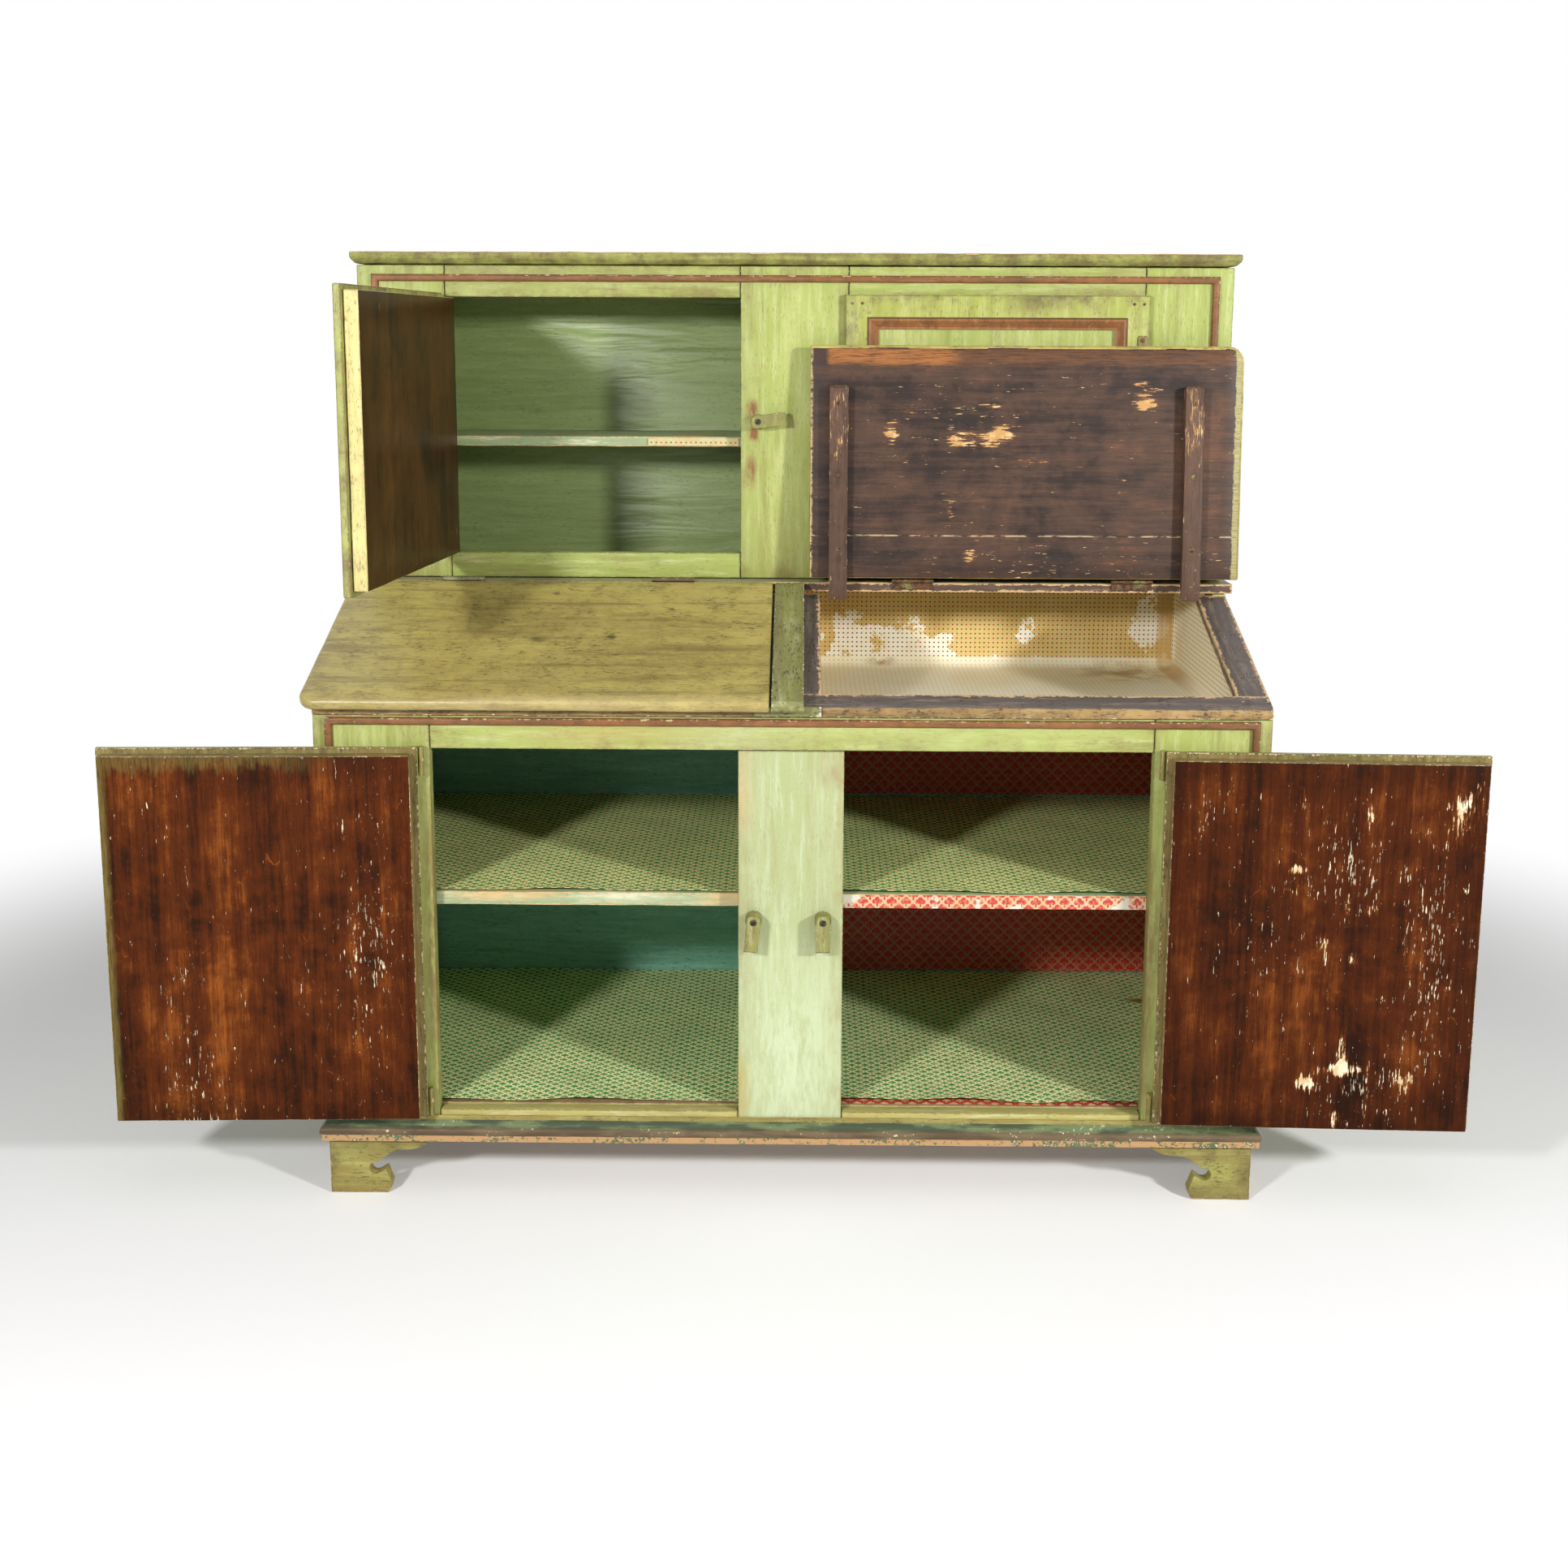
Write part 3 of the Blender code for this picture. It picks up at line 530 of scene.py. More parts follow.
# %% [markdown]
# The right bin is lined with oilcloth that turns up the walls in soft coves. A box at the size of the
# bin, with its upper side cut off along the slope and its remaining corners rounded, is that shape. Each
# face keeps its own flat piece of a UV map, so that the printed dots stay square on every wall. It gets a
# cloth's thickness last, inwards.

# %% Oilcloth lining of the right bin
COVE = 0.026
OILCLOTH = 0.0008
RIM_TOP = 0.7440
lining = added(bpy.ops.mesh.primitive_cube_add, "bin_lining", (0.6705, 0.5755, 0.1688),
               (0.34175, 0.0755, 0.7992))
edit(lining)
pick(lining, "FACE", lambda f: f.normal.z > 0.9)
bpy.ops.mesh.delete(type="FACE")
pick(lining, "EDGE", lambda e: not e.is_boundary)
bpy.ops.mesh.bevel(offset=COVE, segments=5, profile=0.5, affect="EDGES")
everything()
bpy.ops.mesh.bisect(plane_co=(0, FACE, RIM_TOP), plane_no=(0, -math.sin(SLOPE), math.cos(SLOPE)),
                    clear_outer=True)
everything()
bpy.ops.uv.cube_project(cube_size=1.0, correct_aspect=False, scale_to_bounds=False)
done()
sliced(lining, 0.025)
cloth_cloud = bpy.data.textures.new("cloth_waves", "CLOUDS")
cloth_cloud.noise_scale = 0.11
modify(lining, "DISPLACE", texture=cloth_cloud, texture_coords="LOCAL", strength=-0.0016, mid_level=0.0)
modify(lining, "SOLIDIFY", thickness=OILCLOTH, offset=-1)
settle(lining, "carcass", "bare_wood")
lining_area = sum(f.area for f in lining.data.polygons) / 2
print("oilcloth, square metres:", round(lining_area, 3))

# %% [markdown]
# Shelves and floors are covered with printed paper cloth, laid loose and cut a little short. A grid at
# its size is lifted in low waves, and its front edge wavers and curls up where it has lost its grip.

# %% Printed covers of the shelves and floors
CLOTH = 0.0005
CURL_REACH = 0.045


def cover(name, x0, x1, y0, y1, z, wave, curl, rests):
    piece = added(bpy.ops.mesh.primitive_grid_add, name, (x1 - x0, y1 - y0, 1),
                  ((x0 + x1) / 2, (y0 + y1) / 2, z), x_subdivisions=56, y_subdivisions=48)
    modify(piece, "DISPLACE", texture=cloth_cloud, texture_coords="LOCAL", direction="Z", strength=wave,
           mid_level=0.0)
    for v in piece.data.vertices:
        near = max(0.0, 1 - (v.co.y - y0) / CURL_REACH)
        lift = 0.5 + 0.5 * math.sin(v.co.x * 23 + z * 40) * math.cos(v.co.x * 9)
        v.co.z += curl * near * near * lift
        v.co.y += 0.004 * near * lift
    modify(piece, "SOLIDIFY", thickness=CLOTH, offset=1)
    settle(piece, "carcass", "bare_wood")
    return piece


COVERS = {
    "shelf_cover_left": (-0.676, -0.0130, -0.2095, 0.3625, 0.4724, 0.003, 0.003, "lower_shelf_left"),
    "shelf_cover_right": (0.0130, 0.676, -0.2090, 0.3625, 0.4724, 0.003, 0.004, "lower_shelf_right"),
    "floor_cover_left": (-0.676, -0.0130, -0.2120, 0.3625, 0.1394, 0.005, 0.002, "base_floor"),
    "floor_cover_right": (0.0130, 0.676, -0.2075, 0.3625, 0.1399, 0.005, 0.005, "base_floor"),
    "floor_underlay_right": (0.0130, 0.676, -0.2125, 0.3620, 0.1392, 0.0004, 0.0, "base_floor"),
}
covers = {name: cover(name, *row) for name, row in COVERS.items()}
print("covers:", sorted(covers))

# %% [markdown]
# The right base cupboard has red printed paper on its back wall and on the front edge of its shelf, and a
# torn remnant of dotted paper is left on the edge of the upper shelf. All are thin sheets that stand
# against the boards: a grid turned upright, with a few shallow bubbles.

# %% Papers that stand against the boards
PAPER = 0.0004


def wall_sheet(name, x0, x1, z0, z1, y, rests):
    piece = added(bpy.ops.mesh.primitive_grid_add, name, (x1 - x0, z1 - z0, 1),
                  ((x0 + x1) / 2, y, (z0 + z1) / 2), rotation=UPRIGHT, x_subdivisions=40, y_subdivisions=16)
    modify(piece, "DISPLACE", texture=cloth_cloud, texture_coords="LOCAL", direction="Y", strength=-0.0012,
           mid_level=0.0)
    modify(piece, "SOLIDIFY", thickness=PAPER, offset=1)
    settle(piece, "carcass", "bare_wood")
    return piece


PAPERS = {
    "wall_paper_low": (0.0125, 0.677, 0.145, 0.448, 0.3632, "back_panel"),
    "wall_paper_high": (0.0125, 0.677, 0.478, 0.694, 0.3632, "back_panel"),
    "upper_edge_remnant": (-0.238, -0.090, 1.1165, 1.1288, 0.1474, "upper_shelf"),
    "shelf_edge_paper": (0.0130, 0.676, 0.4505, 0.4708, -0.2106, "lower_shelf_right"),
}
papers = {name: wall_sheet(name, *row) for name, row in PAPERS.items()}
print("papers:", sorted(papers))

# %% [markdown]
# Shader maths reads better as sums than as boxes and wires. This class wraps one socket, so that adding
# or multiplying two of them adds the right node, and one method makes any other node from its type, its
# settings and what goes into its sockets.

# %% Sums of sockets


class Wire:
    """A socket in a finish, which takes part in sums as a number does."""

    def __init__(self, tree, socket=None):
        self.tree = tree
        self.socket = socket

    def node(self, kind, settings, inputs, out=0):
        made = self.tree.nodes.new(kind)
        for key, value in settings.items():
            setattr(made, key, value)
        for key, value in inputs.items():
            if isinstance(value, Wire):
                self.tree.links.new(value.socket, made.inputs[key])
            elif isinstance(value, tuple) and len(value) == 3 and made.inputs[key].type == "RGBA":
                made.inputs[key].default_value = (*value, 1)
            else:
                made.inputs[key].default_value = value
        return Wire(self.tree, made.outputs[out])

    def maths(self, operation, *values):
        return self.node("ShaderNodeMath", {"operation": operation}, dict(enumerate(values)))

    def __add__(self, other):
        return self.maths("ADD", self, other)

    def __radd__(self, other):
        return self.maths("ADD", other, self)

    def __sub__(self, other):
        return self.maths("SUBTRACT", self, other)

    def __rsub__(self, other):
        return self.maths("SUBTRACT", other, self)

    def __mul__(self, other):
        return self.maths("MULTIPLY", self, other)

    def __rmul__(self, other):
        return self.maths("MULTIPLY", other, self)

    def __truediv__(self, other):
        return self.maths("DIVIDE", self, other)

    def __mod__(self, other):
        return self.maths("FLOORED_MODULO", self, other)

    def __abs__(self):
        return self.maths("ABSOLUTE", self)

    def least(self, other):
        return self.maths("MINIMUM", self, other)

    def most(self, other):
        return self.maths("MAXIMUM", self, other)

    def root(self):
        return self.maths("SQRT", self)

    def floor(self):
        return self.maths("FLOOR", self)

    def step(self, low, high):
        """Nothing below low, one above high and a soft rise between them."""
        soft = {"interpolation_type": "SMOOTHSTEP"}
        return self.node("ShaderNodeMapRange", soft, {0: self, 1: low, 2: high})

    def blend(self, low, high):
        """A colour between two, by this number."""
        return self.node("ShaderNodeMix", {"data_type": "RGBA"}, {0: self, 6: low, 7: high}, 2)

    def scaled(self, x, y, z, shift=0.0):
        moved = (shift, shift * 1.7, shift * 0.6)
        return self.node("ShaderNodeMapping", {}, {0: self, 1: moved, 3: (x, y, z)})

    def noise(self, scale, detail=3.0, rough=0.55, twist=0.0):
        return self.node("ShaderNodeTexNoise", {}, {"Vector": self, "Scale": scale, "Detail": detail,
                                                    "Roughness": rough, "Distortion": twist})

    def coordinates(self):
        return self.node("ShaderNodeTexCoord", {}, {}, "Object")

    def split(self):
        made = self.node("ShaderNodeSeparateXYZ", {}, {0: self})
        return [Wire(self.tree, socket) for socket in made.socket.node.outputs]


# %% [markdown]
# Every finish starts the same way: Object coordinates, turned square and centred on the piece by a
# Mapping node, and the distance of a point from the nearest edge of its board. On a box, a point of the
# surface is at no distance from one pair of sides, and the middle one of its three distances is the way
# to the nearest edge.

# %% Places on a board
GRAIN_STRIDE = 0.731
count = [0]


def new_finish(name):
    made = bpy.data.materials.new(name)
    made.use_nodes = True
    return made, Wire(made.node_tree)


def begun(name, piece, lean=SQUARE):
    """A new finish, the places on its piece set square, and the piece's half size."""
    made, wire = new_finish(name)
    turn = Euler((lean[0], 0, lean[1])).to_matrix()
    spots = [turn @ v.co for v in piece.data.vertices]
    low = Vector([min(s[i] for s in spots) for i in range(3)])
    high = Vector([max(s[i] for s in spots) for i in range(3)])
    inputs = {0: wire.coordinates(), 1: tuple(-(low + high) / 2), 2: (lean[0], 0, lean[1])}
    return made, wire.node("ShaderNodeMapping", {}, inputs), (high - low) / 2


def to_edge(spot, half):
    x, y, z = spot.split()
    a, b, c = half.x - abs(x), half.y - abs(y), half.z - abs(z)
    return a.least(b).most(a.most(b).least(c))


def surface(made, colour, rough, height=None, deep=0.0004, metal=0.0, shine=0.3):
    """Link a finished colour, roughness and height to the material's shader."""
    shader = made.node_tree.nodes["Principled BSDF"]
    made.node_tree.links.new(colour.socket, shader.inputs["Base Color"])
    if isinstance(rough, Wire):
        made.node_tree.links.new(rough.socket, shader.inputs["Roughness"])
    else:
        shader.inputs["Roughness"].default_value = rough
    shader.inputs["Metallic"].default_value = metal
    shader.inputs["Specular IOR Level"].default_value = shine
    if height is not None:
        bump = colour.node("ShaderNodeBump", {}, {"Strength": 1.0, "Distance": deep, "Height": height})
        made.node_tree.links.new(bump.socket, shader.inputs["Normal"])


def give(piece, made, faces=None):
    """Put a finish on a piece, or on the faces of it that pass a test."""
    piece.data.materials.append(made)
    if faces:
        index = len(piece.data.materials) - 1
        for face in piece.data.polygons:
            if faces(face):
                face.material_index = index


def drawn_out(spot, along, share, shift):
    """Places with one direction drawn out, so that a noise on them runs along the grain."""
    size = [1.0, 1.0, 1.0]
    size["xyz".index(along)] = share
    return spot.scaled(*size, shift=shift)


def grain_of(spot, along, share):
    """Drawn-out places that no other finish has."""
    count[0] += 1
    return drawn_out(spot, along, share, count[0] * GRAIN_STRIDE)


def shares(spot, half, across, up):
    """How far across and how far up a place is, in shares of the half size."""
    axes = dict(zip("xyz", spot.split()))
    return axes[across] / getattr(half, across), axes[up] / getattr(half, up)


def spots_of(spot, half, flat, listed):
    """A density over the board from soft spots, each with a place, a size and a strength."""
    u, v = shares(spot, half, *flat)
    total = None
    for cu, cv, ru, rv, much in listed:
        du, dv = (u - cu) / ru, (v - cv) / rv
        one = (1 - (du * du + dv * dv).root().step(0.0, 1.0)) * much
        total = one if total is None else total + one
    return total


# %% [markdown]
# Most of the piece wears old brushed paint. Two close colours drift into each other, brush strokes leave
# paler streaks along the grain, dark lines sit in the pores, smears and flecks lie over them, dirt
# gathers along edges, and chips near the edges show what lies beneath. One recipe with those amounts
# serves every paint, so a finish is six colours and a short list of numbers.

# %% Worn paint


def paint(base, tone, pale, dark, dirt, bare, streaks, lines, grime, chips, rough=0.5, flecks=0.4, smears=0.2,
          worn=0.005):
    """Six colours, then how much there is of pale streaks, dark lines, grime and chips."""
    return SimpleNamespace(**locals())


LOOKS = {
    "lime": paint((0.345, 0.40, 0.102), (0.45, 0.495, 0.165), (0.56, 0.60, 0.30), (0.17, 0.135, 0.04),
                  (0.19, 0.14, 0.04), (0.48, 0.31, 0.14), 0.45, 0.6, 0.7, 0.5, flecks=0.32, smears=0.35),
    "pale_lime": paint((0.385, 0.43, 0.20), (0.44, 0.50, 0.275), (0.56, 0.62, 0.42), (0.26, 0.21, 0.09),
                       (0.30, 0.23, 0.08), (0.60, 0.50, 0.32), 0.5, 0.6, 0.55, 0.4, rough=0.52, flecks=0.32,
                       smears=0.3),
    "cornice": paint((0.33, 0.36, 0.075), (0.42, 0.44, 0.115), (0.56, 0.56, 0.26), (0.14, 0.11, 0.04),
                     (0.12, 0.085, 0.04), (0.34, 0.20, 0.11), 0.5, 0.7, 0.9, 1.0, rough=0.48, flecks=0.5),
    "sill": paint((0.43, 0.38, 0.12), (0.49, 0.46, 0.175), (0.64, 0.60, 0.34), (0.20, 0.14, 0.05),
                  (0.20, 0.12, 0.04), (0.52, 0.34, 0.16), 0.6, 0.5, 0.6, 0.5),
    "brown": paint((0.28, 0.115, 0.040), (0.215, 0.085, 0.030), (0.42, 0.23, 0.10), (0.11, 0.045, 0.02),
                   (0.10, 0.05, 0.02), (0.54, 0.44, 0.22), 0.6, 0.5, 0.5, 1.1, rough=0.48, flecks=0.6,
                   smears=0.5),
    "sage": paint((0.25, 0.325, 0.115), (0.30, 0.375, 0.145), (0.38, 0.45, 0.21), (0.12, 0.15, 0.055),
                  (0.07, 0.08, 0.03), (0.34, 0.20, 0.09), 0.3, 0.25, 0.4, 0.1, rough=0.34),
    "teal": paint((0.19, 0.43, 0.32), (0.26, 0.54, 0.43), (0.33, 0.60, 0.50), (0.03, 0.11, 0.08),
                  (0.02, 0.06, 0.04), (0.16, 0.12, 0.06), 0.4, 0.6, 0.5, 0.2),
    "mint": paint((0.30, 0.39, 0.21), (0.38, 0.46, 0.26), (0.70, 0.68, 0.46), (0.16, 0.17, 0.08),
                  (0.22, 0.16, 0.07), (0.68, 0.46, 0.22), 0.8, 0.3, 0.4, 1.6, rough=0.42),
    "olive": paint((0.52, 0.425, 0.125), (0.37, 0.29, 0.082), (0.56, 0.48, 0.19), (0.11, 0.082, 0.030),
                   (0.22, 0.16, 0.05), (0.52, 0.40, 0.18), 0.5, 0.85, 0.4, 0.35, rough=0.33, flecks=0.75,
                   smears=0.75),
    "mossy": paint((0.22, 0.20, 0.095), (0.31, 0.34, 0.085), (0.58, 0.56, 0.42), (0.07, 0.055, 0.03),
                   (0.11, 0.085, 0.045), (0.62, 0.57, 0.44), 0.5, 0.8, 0.6, 1.0, flecks=0.9),
    "charcoal": paint((0.095, 0.078, 0.070), (0.14, 0.11, 0.095), (0.30, 0.23, 0.18), (0.018, 0.013, 0.011),
                      (0.03, 0.022, 0.018), (0.56, 0.38, 0.20), 0.7, 0.7, 0.3, 1.5, rough=0.40, flecks=0.7,
                      worn=0.011),
    "bracket": paint((0.27, 0.20, 0.055), (0.34, 0.33, 0.085), (0.46, 0.42, 0.17), (0.09, 0.06, 0.022),
                     (0.12, 0.08, 0.03), (0.46, 0.31, 0.15), 0.5, 0.8, 0.8, 0.9, flecks=0.7),
    "ledge": paint((0.33, 0.34, 0.18), (0.24, 0.22, 0.10), (0.58, 0.57, 0.44), (0.08, 0.06, 0.03),
                   (0.08, 0.055, 0.03), (0.48, 0.30, 0.15), 0.6, 0.8, 0.9, 1.0),
    "ledge_front": paint((0.10, 0.060, 0.042), (0.15, 0.09, 0.06), (0.34, 0.21, 0.12), (0.025, 0.015, 0.01),
                         (0.03, 0.02, 0.014), (0.60, 0.40, 0.20), 0.7, 0.6, 0.4, 1.7, flecks=0.7,
                         worn=0.008),
    "worn_edge": paint((0.40, 0.26, 0.095), (0.31, 0.19, 0.07), (0.58, 0.45, 0.23), (0.06, 0.035, 0.02),
                       (0.08, 0.05, 0.025), (0.66, 0.53, 0.31), 0.6, 0.9, 0.5, 1.0, flecks=0.9, smears=0.5),
    "old_edge": paint((0.22, 0.15, 0.048), (0.28, 0.25, 0.07), (0.48, 0.41, 0.21), (0.06, 0.034, 0.015),
                      (0.09, 0.05, 0.02), (0.60, 0.48, 0.28), 0.5, 0.9, 0.7, 1.0, flecks=0.8, smears=0.5),
    # a paler copy of the sill paint, which is painted light on the upper left door's edges
    "speckled": paint((0.62, 0.55, 0.21), (0.70, 0.62, 0.27), (0.80, 0.74, 0.42), (0.12, 0.085, 0.03),
                      (0.24, 0.16, 0.05), (0.62, 0.40, 0.18), 0.5, 0.6, 0.5, 0.9, flecks=0.6, smears=0.3),
    "button": paint((0.24, 0.24, 0.06), (0.29, 0.29, 0.085), (0.55, 0.52, 0.32), (0.10, 0.08, 0.03),
                    (0.13, 0.095, 0.035), (0.62, 0.55, 0.36), 0.5, 0.7, 0.8, 0.9),
    "raw": paint((0.30, 0.19, 0.095), (0.22, 0.135, 0.065), (0.42, 0.30, 0.17), (0.08, 0.045, 0.02),
                 (0.10, 0.06, 0.03), (0.40, 0.28, 0.15), 0.5, 0.9, 0.4, 0.2, rough=0.65),
}


def worn_colours(spot, half, look, along):
    """The colour, roughness and height of worn brushed paint at a place on a board."""
    look = LOOKS[look]
    q = grain_of(spot, along, 0.09)
    fibre = q.noise(480.0, 5.0, 0.72)
    sweep = q.noise(120.0, 4.0, 0.65)
    cloud = q.scaled(1, 1, 1).noise(6.0, 5.0, 0.62)
    speck = spot.noise(130.0, 4.0, 0.68)
    mottle = spot.noise(34.0, 5.0, 0.68)
    fleck = grain_of(spot, along, 0.22).noise(460.0, 4.0, 0.64)
    smear = q.noise(42.0, 5.0, 0.68)
    edge = to_edge(spot, half)
    near = 1 - edge.step(0.0, look.worn)
    colour = (cloud * 0.45 + sweep * 0.3 + mottle * 0.25).step(0.41, 0.59).blend(look.base, look.tone)
    colour = (sweep.step(0.49, 0.68) * fibre.step(0.38, 0.60) * look.streaks).blend(colour, look.pale)
    colour = (fibre.step(0.55, 0.68) * cloud.step(0.36, 0.60) * look.lines).blend(colour, look.dark)
    colour = (smear.step(0.50, 0.66) * look.smears).blend(colour, look.dirt)
    colour = ((fleck + (mottle - 0.5) * 0.5).step(0.59, 0.63) * look.flecks).blend(colour, look.dark)
    grime = (1 - edge.step(0.0, 0.045)) * (cloud * 0.6 + mottle * 0.4).step(0.42, 0.62) * look.grime
    colour = grime.blend(colour, look.dirt)
    joint = (1 - edge.step(0.0006, 0.0026)) * speck.step(0.34, 0.54) * 0.85 * look.grime
    colour = joint.blend(colour, tuple(c * 0.4 for c in look.dirt))
    chip = (speck * 0.5 + fibre * 0.3 + mottle * 0.2 + near * (0.14 * look.chips)).step(0.63, 0.66)
    colour = (chip * min(1.0, look.chips + 0.35)).blend(colour, look.bare)
    rough = look.rough + 0.18 * chip + 0.16 * (fibre - 0.5)
    return colour, rough, fibre * 0.45 + sweep * 0.35 - chip * 0.5


def worn_paint(piece, look, along="z", lean=SQUARE, faces=None, marks=(), flat="xz", shine=0.3):
    """One worn paint, with marks where a list says so: stains, and in two places painted light. Each mark has
    place, size, strength and colour.
    """
    made, spot, half = begun(piece.name + "_" + look, piece, lean)
    colour, rough, height = worn_colours(spot, half, look, along)
    for *mark, tone in marks:
        density = spots_of(spot, half, flat, [mark])
        grain = grain_of(spot, along, 0.25)
        broken = (grain.noise(170.0, 4.0, 0.65) * 0.5 + grain.noise(36.0, 4.0, 0.6) * 0.5).step(0.40, 0.58)
        colour = (density * (0.35 + 0.65 * broken)).least(0.92).blend(colour, tone)
    surface(made, colour, rough, height, shine=shine)
    give(piece, made, faces)


print("paints to choose from:", len(LOOKS))

# %% [markdown]
# Now every board gets its paint, and the order of the calls keeps each board's own pattern. Marks are the
# stains that the photograph shows at a certain place: rust beside the upper button, olive streaks where
# the base doors rub, wood laid bare on the shelves. Two marks are painted light instead: the open lid's
# shadow at the foot of the upper middle stile, and a highlight, with some wear, along the left lid's front
# edge. Each has a place and a size in shares of the board, a strength and a colour.

# %% Paints of the boards


def painted(start, look, along="z", **more):
    """One worn paint for every board whose name starts so."""
    for node in [n for n in boards if n.startswith(start)]:
        worn_paint(boards[node], look, along, **more)


RUST = (0.22, 0.075, 0.025)
PALE_MINT = (0.57, 0.64, 0.41)
OLD_OLIVE = (0.20, 0.145, 0.045)
TAN = (0.62, 0.42, 0.19)
SCRAPED = (0.66, 0.62, 0.42)
FLECK = (0.085, 0.062, 0.025)
STAIN = (0.22, 0.16, 0.05)
painted("upper_stile_left", "lime")
painted("upper_stile_right", "lime")
painted("base_stile_left", "lime", marks=[(1.0, -0.1, 0.30, 1.3, 1.2, OLD_OLIVE)])
painted("base_stile_right", "lime", marks=[(-1.0, -0.1, 0.30, 1.3, 1.2, OLD_OLIVE)])
painted("upper_rail_", "lime", "x")
painted("base_rail_bottom_", "sill", "x")
painted("top_board", "cornice", "x", shine=0.15)
painted("top_board", "ledge_front", "x", faces=lambda f: f.normal.z > 0.3, shine=0.1)
# The last mark darkens the foot of the stile towards olive: painted shadow of the open lid.
painted("upper_stile_centre", "lime", marks=[
    (-0.78, 0.10, 0.16, 0.10, 1.4, RUST), (-0.75, -0.06, 0.16, 0.07, 1.6, RUST),
    (-0.80, -0.30, 0.18, 0.16, 1.0, RUST), (0.0, -0.85, 1.6, 0.45, 0.5, (0.28, 0.25, 0.07))])
painted("base_stile_centre", "pale_lime", marks=[
    (0.0, -0.60, 1.8, 0.95, 0.9, PALE_MINT), (0.72, 0.88, 0.35, 0.10, 0.9, (0.33, 0.22, 0.12)),
    (-0.95, -0.75, 0.25, 0.35, 0.9, (0.46, 0.34, 0.10)), (-0.9, 0.8, 0.3, 0.3, 0.7, (0.55, 0.42, 0.20))])
painted("base_rail_top", "lime", "x", marks=[
    (-0.50, 0.0, 0.45, 1.8, 0.55, (0.40, 0.30, 0.10)), (-0.15, 0.0, 0.30, 2.0, 0.5, (0.52, 0.55, 0.30)),
    (0.45, 0.0, 0.50, 2.0, 0.6, (0.46, 0.53, 0.20))])
painted("base_bead", "brown", "x")
painted("upper_bead", "brown", "x")
painted("foot_", "bracket", "x")
painted("button_", "button")
painted("hinge_", "bracket")
painted("ledge", "ledge", "x")
painted("ledge", "ledge_front", "x", faces=lambda f: f.normal.y < -0.5 and f.center.x > -0.05)
painted("rim_end", "mossy", "x")
painted("cross_strip", "mossy", "y", lean=ON_SLOPE)
for node in ("rim_left", "rim_right", "rim_centre"):
    painted(node, "charcoal", "y", lean=ON_SLOPE)
for node in ("bin_floor", "bin_divider", "base_floor"):
    painted(node, "raw", "x")
painted("base_floor", "sill", "x", faces=lambda f: f.normal.y < -0.5)
painted("upper_shelf", "mint", "x", marks=[
    (0.55, 0.0, 0.50, 3.0, 1.0, TAN), (-0.25, 0.4, 0.08, 1.0, 1.2, TAN)])
painted("lower_shelf_left", "mint", "x", marks=[
    (0.80, 0.0, 0.25, 3.0, 1.5, TAN), (0.30, 0.5, 0.30, 1.2, 1.2, SCRAPED), (-0.25, 0.5, 0.35, 1.2, 1.2, TAN),
    (-0.85, 0.0, 0.20, 3.0, 1.2, (0.60, 0.62, 0.58))])
painted("lower_shelf_right", "mint", "x")
# The last mark, a pale strip along the front edge, is worn paint and a painted highlight on the rounded nose.
painted("lid_left", "olive", "x", lean=ON_SLOPE, flat="xy", shine=0.45, marks=[
    (-0.04, -0.02, 0.07, 0.07, 1.2, FLECK), (0.28, 0.02, 0.035, 0.06, 1.5, FLECK),
    (-0.1, 0.3, 0.5, 0.6, 0.5, STAIN), (0.5, -0.1, 0.5, 0.7, 0.45, STAIN),
    (0.0, -0.97, 1.6, 0.10, 0.6, (0.56, 0.45, 0.20))])
print("paints so far:", len(bpy.data.materials))

# %% [markdown]
# Boards that close a cupboard have another colour inside. The sides are green outside and sage inside,
# and the back is sage in the upper cupboard and dark teal below. Faces are told apart by the way they
# face, and the two colours of the back by how high a place is.

# %% Insides of the cupboards
for node, sign in (("side_left", 1), ("side_right", -1)):
    painted(node, "lime")
    painted(node, "sage", faces=lambda f: f.normal.x * sign > 0.9)
painted("back_panel", "raw")
made, spot, half = begun("back_inside", boards["back_panel"])
upper, _, height = worn_colours(spot, half, "sage", "x")
lower = worn_colours(spot, half, "teal", "x")[0]
lift = spot.split()[2].step(0.10, 0.11)
ripple = spot.scaled(0.16, 1, 1).noise(22.0, 3.0, 0.5, 0.6)
surface(made, lift.blend(lower, upper), 0.50 - 0.20 * lift, ripple + height * 0.06, 0.006)
give(boards["back_panel"], made, lambda f: f.normal.y < -0.9)
painted("base_partition", "teal")
print("insides painted")

# %% [markdown]
# The inner faces of the doors and the underside of the open lid were stained, not painted. Dark and
# reddish streaks follow the grain, and later cream paint has mostly been scraped off again, leaving long
# chips. Chips thicken where a list of soft spots says so: each has a place on the board, a size and a
# strength.

# %% Stained boards


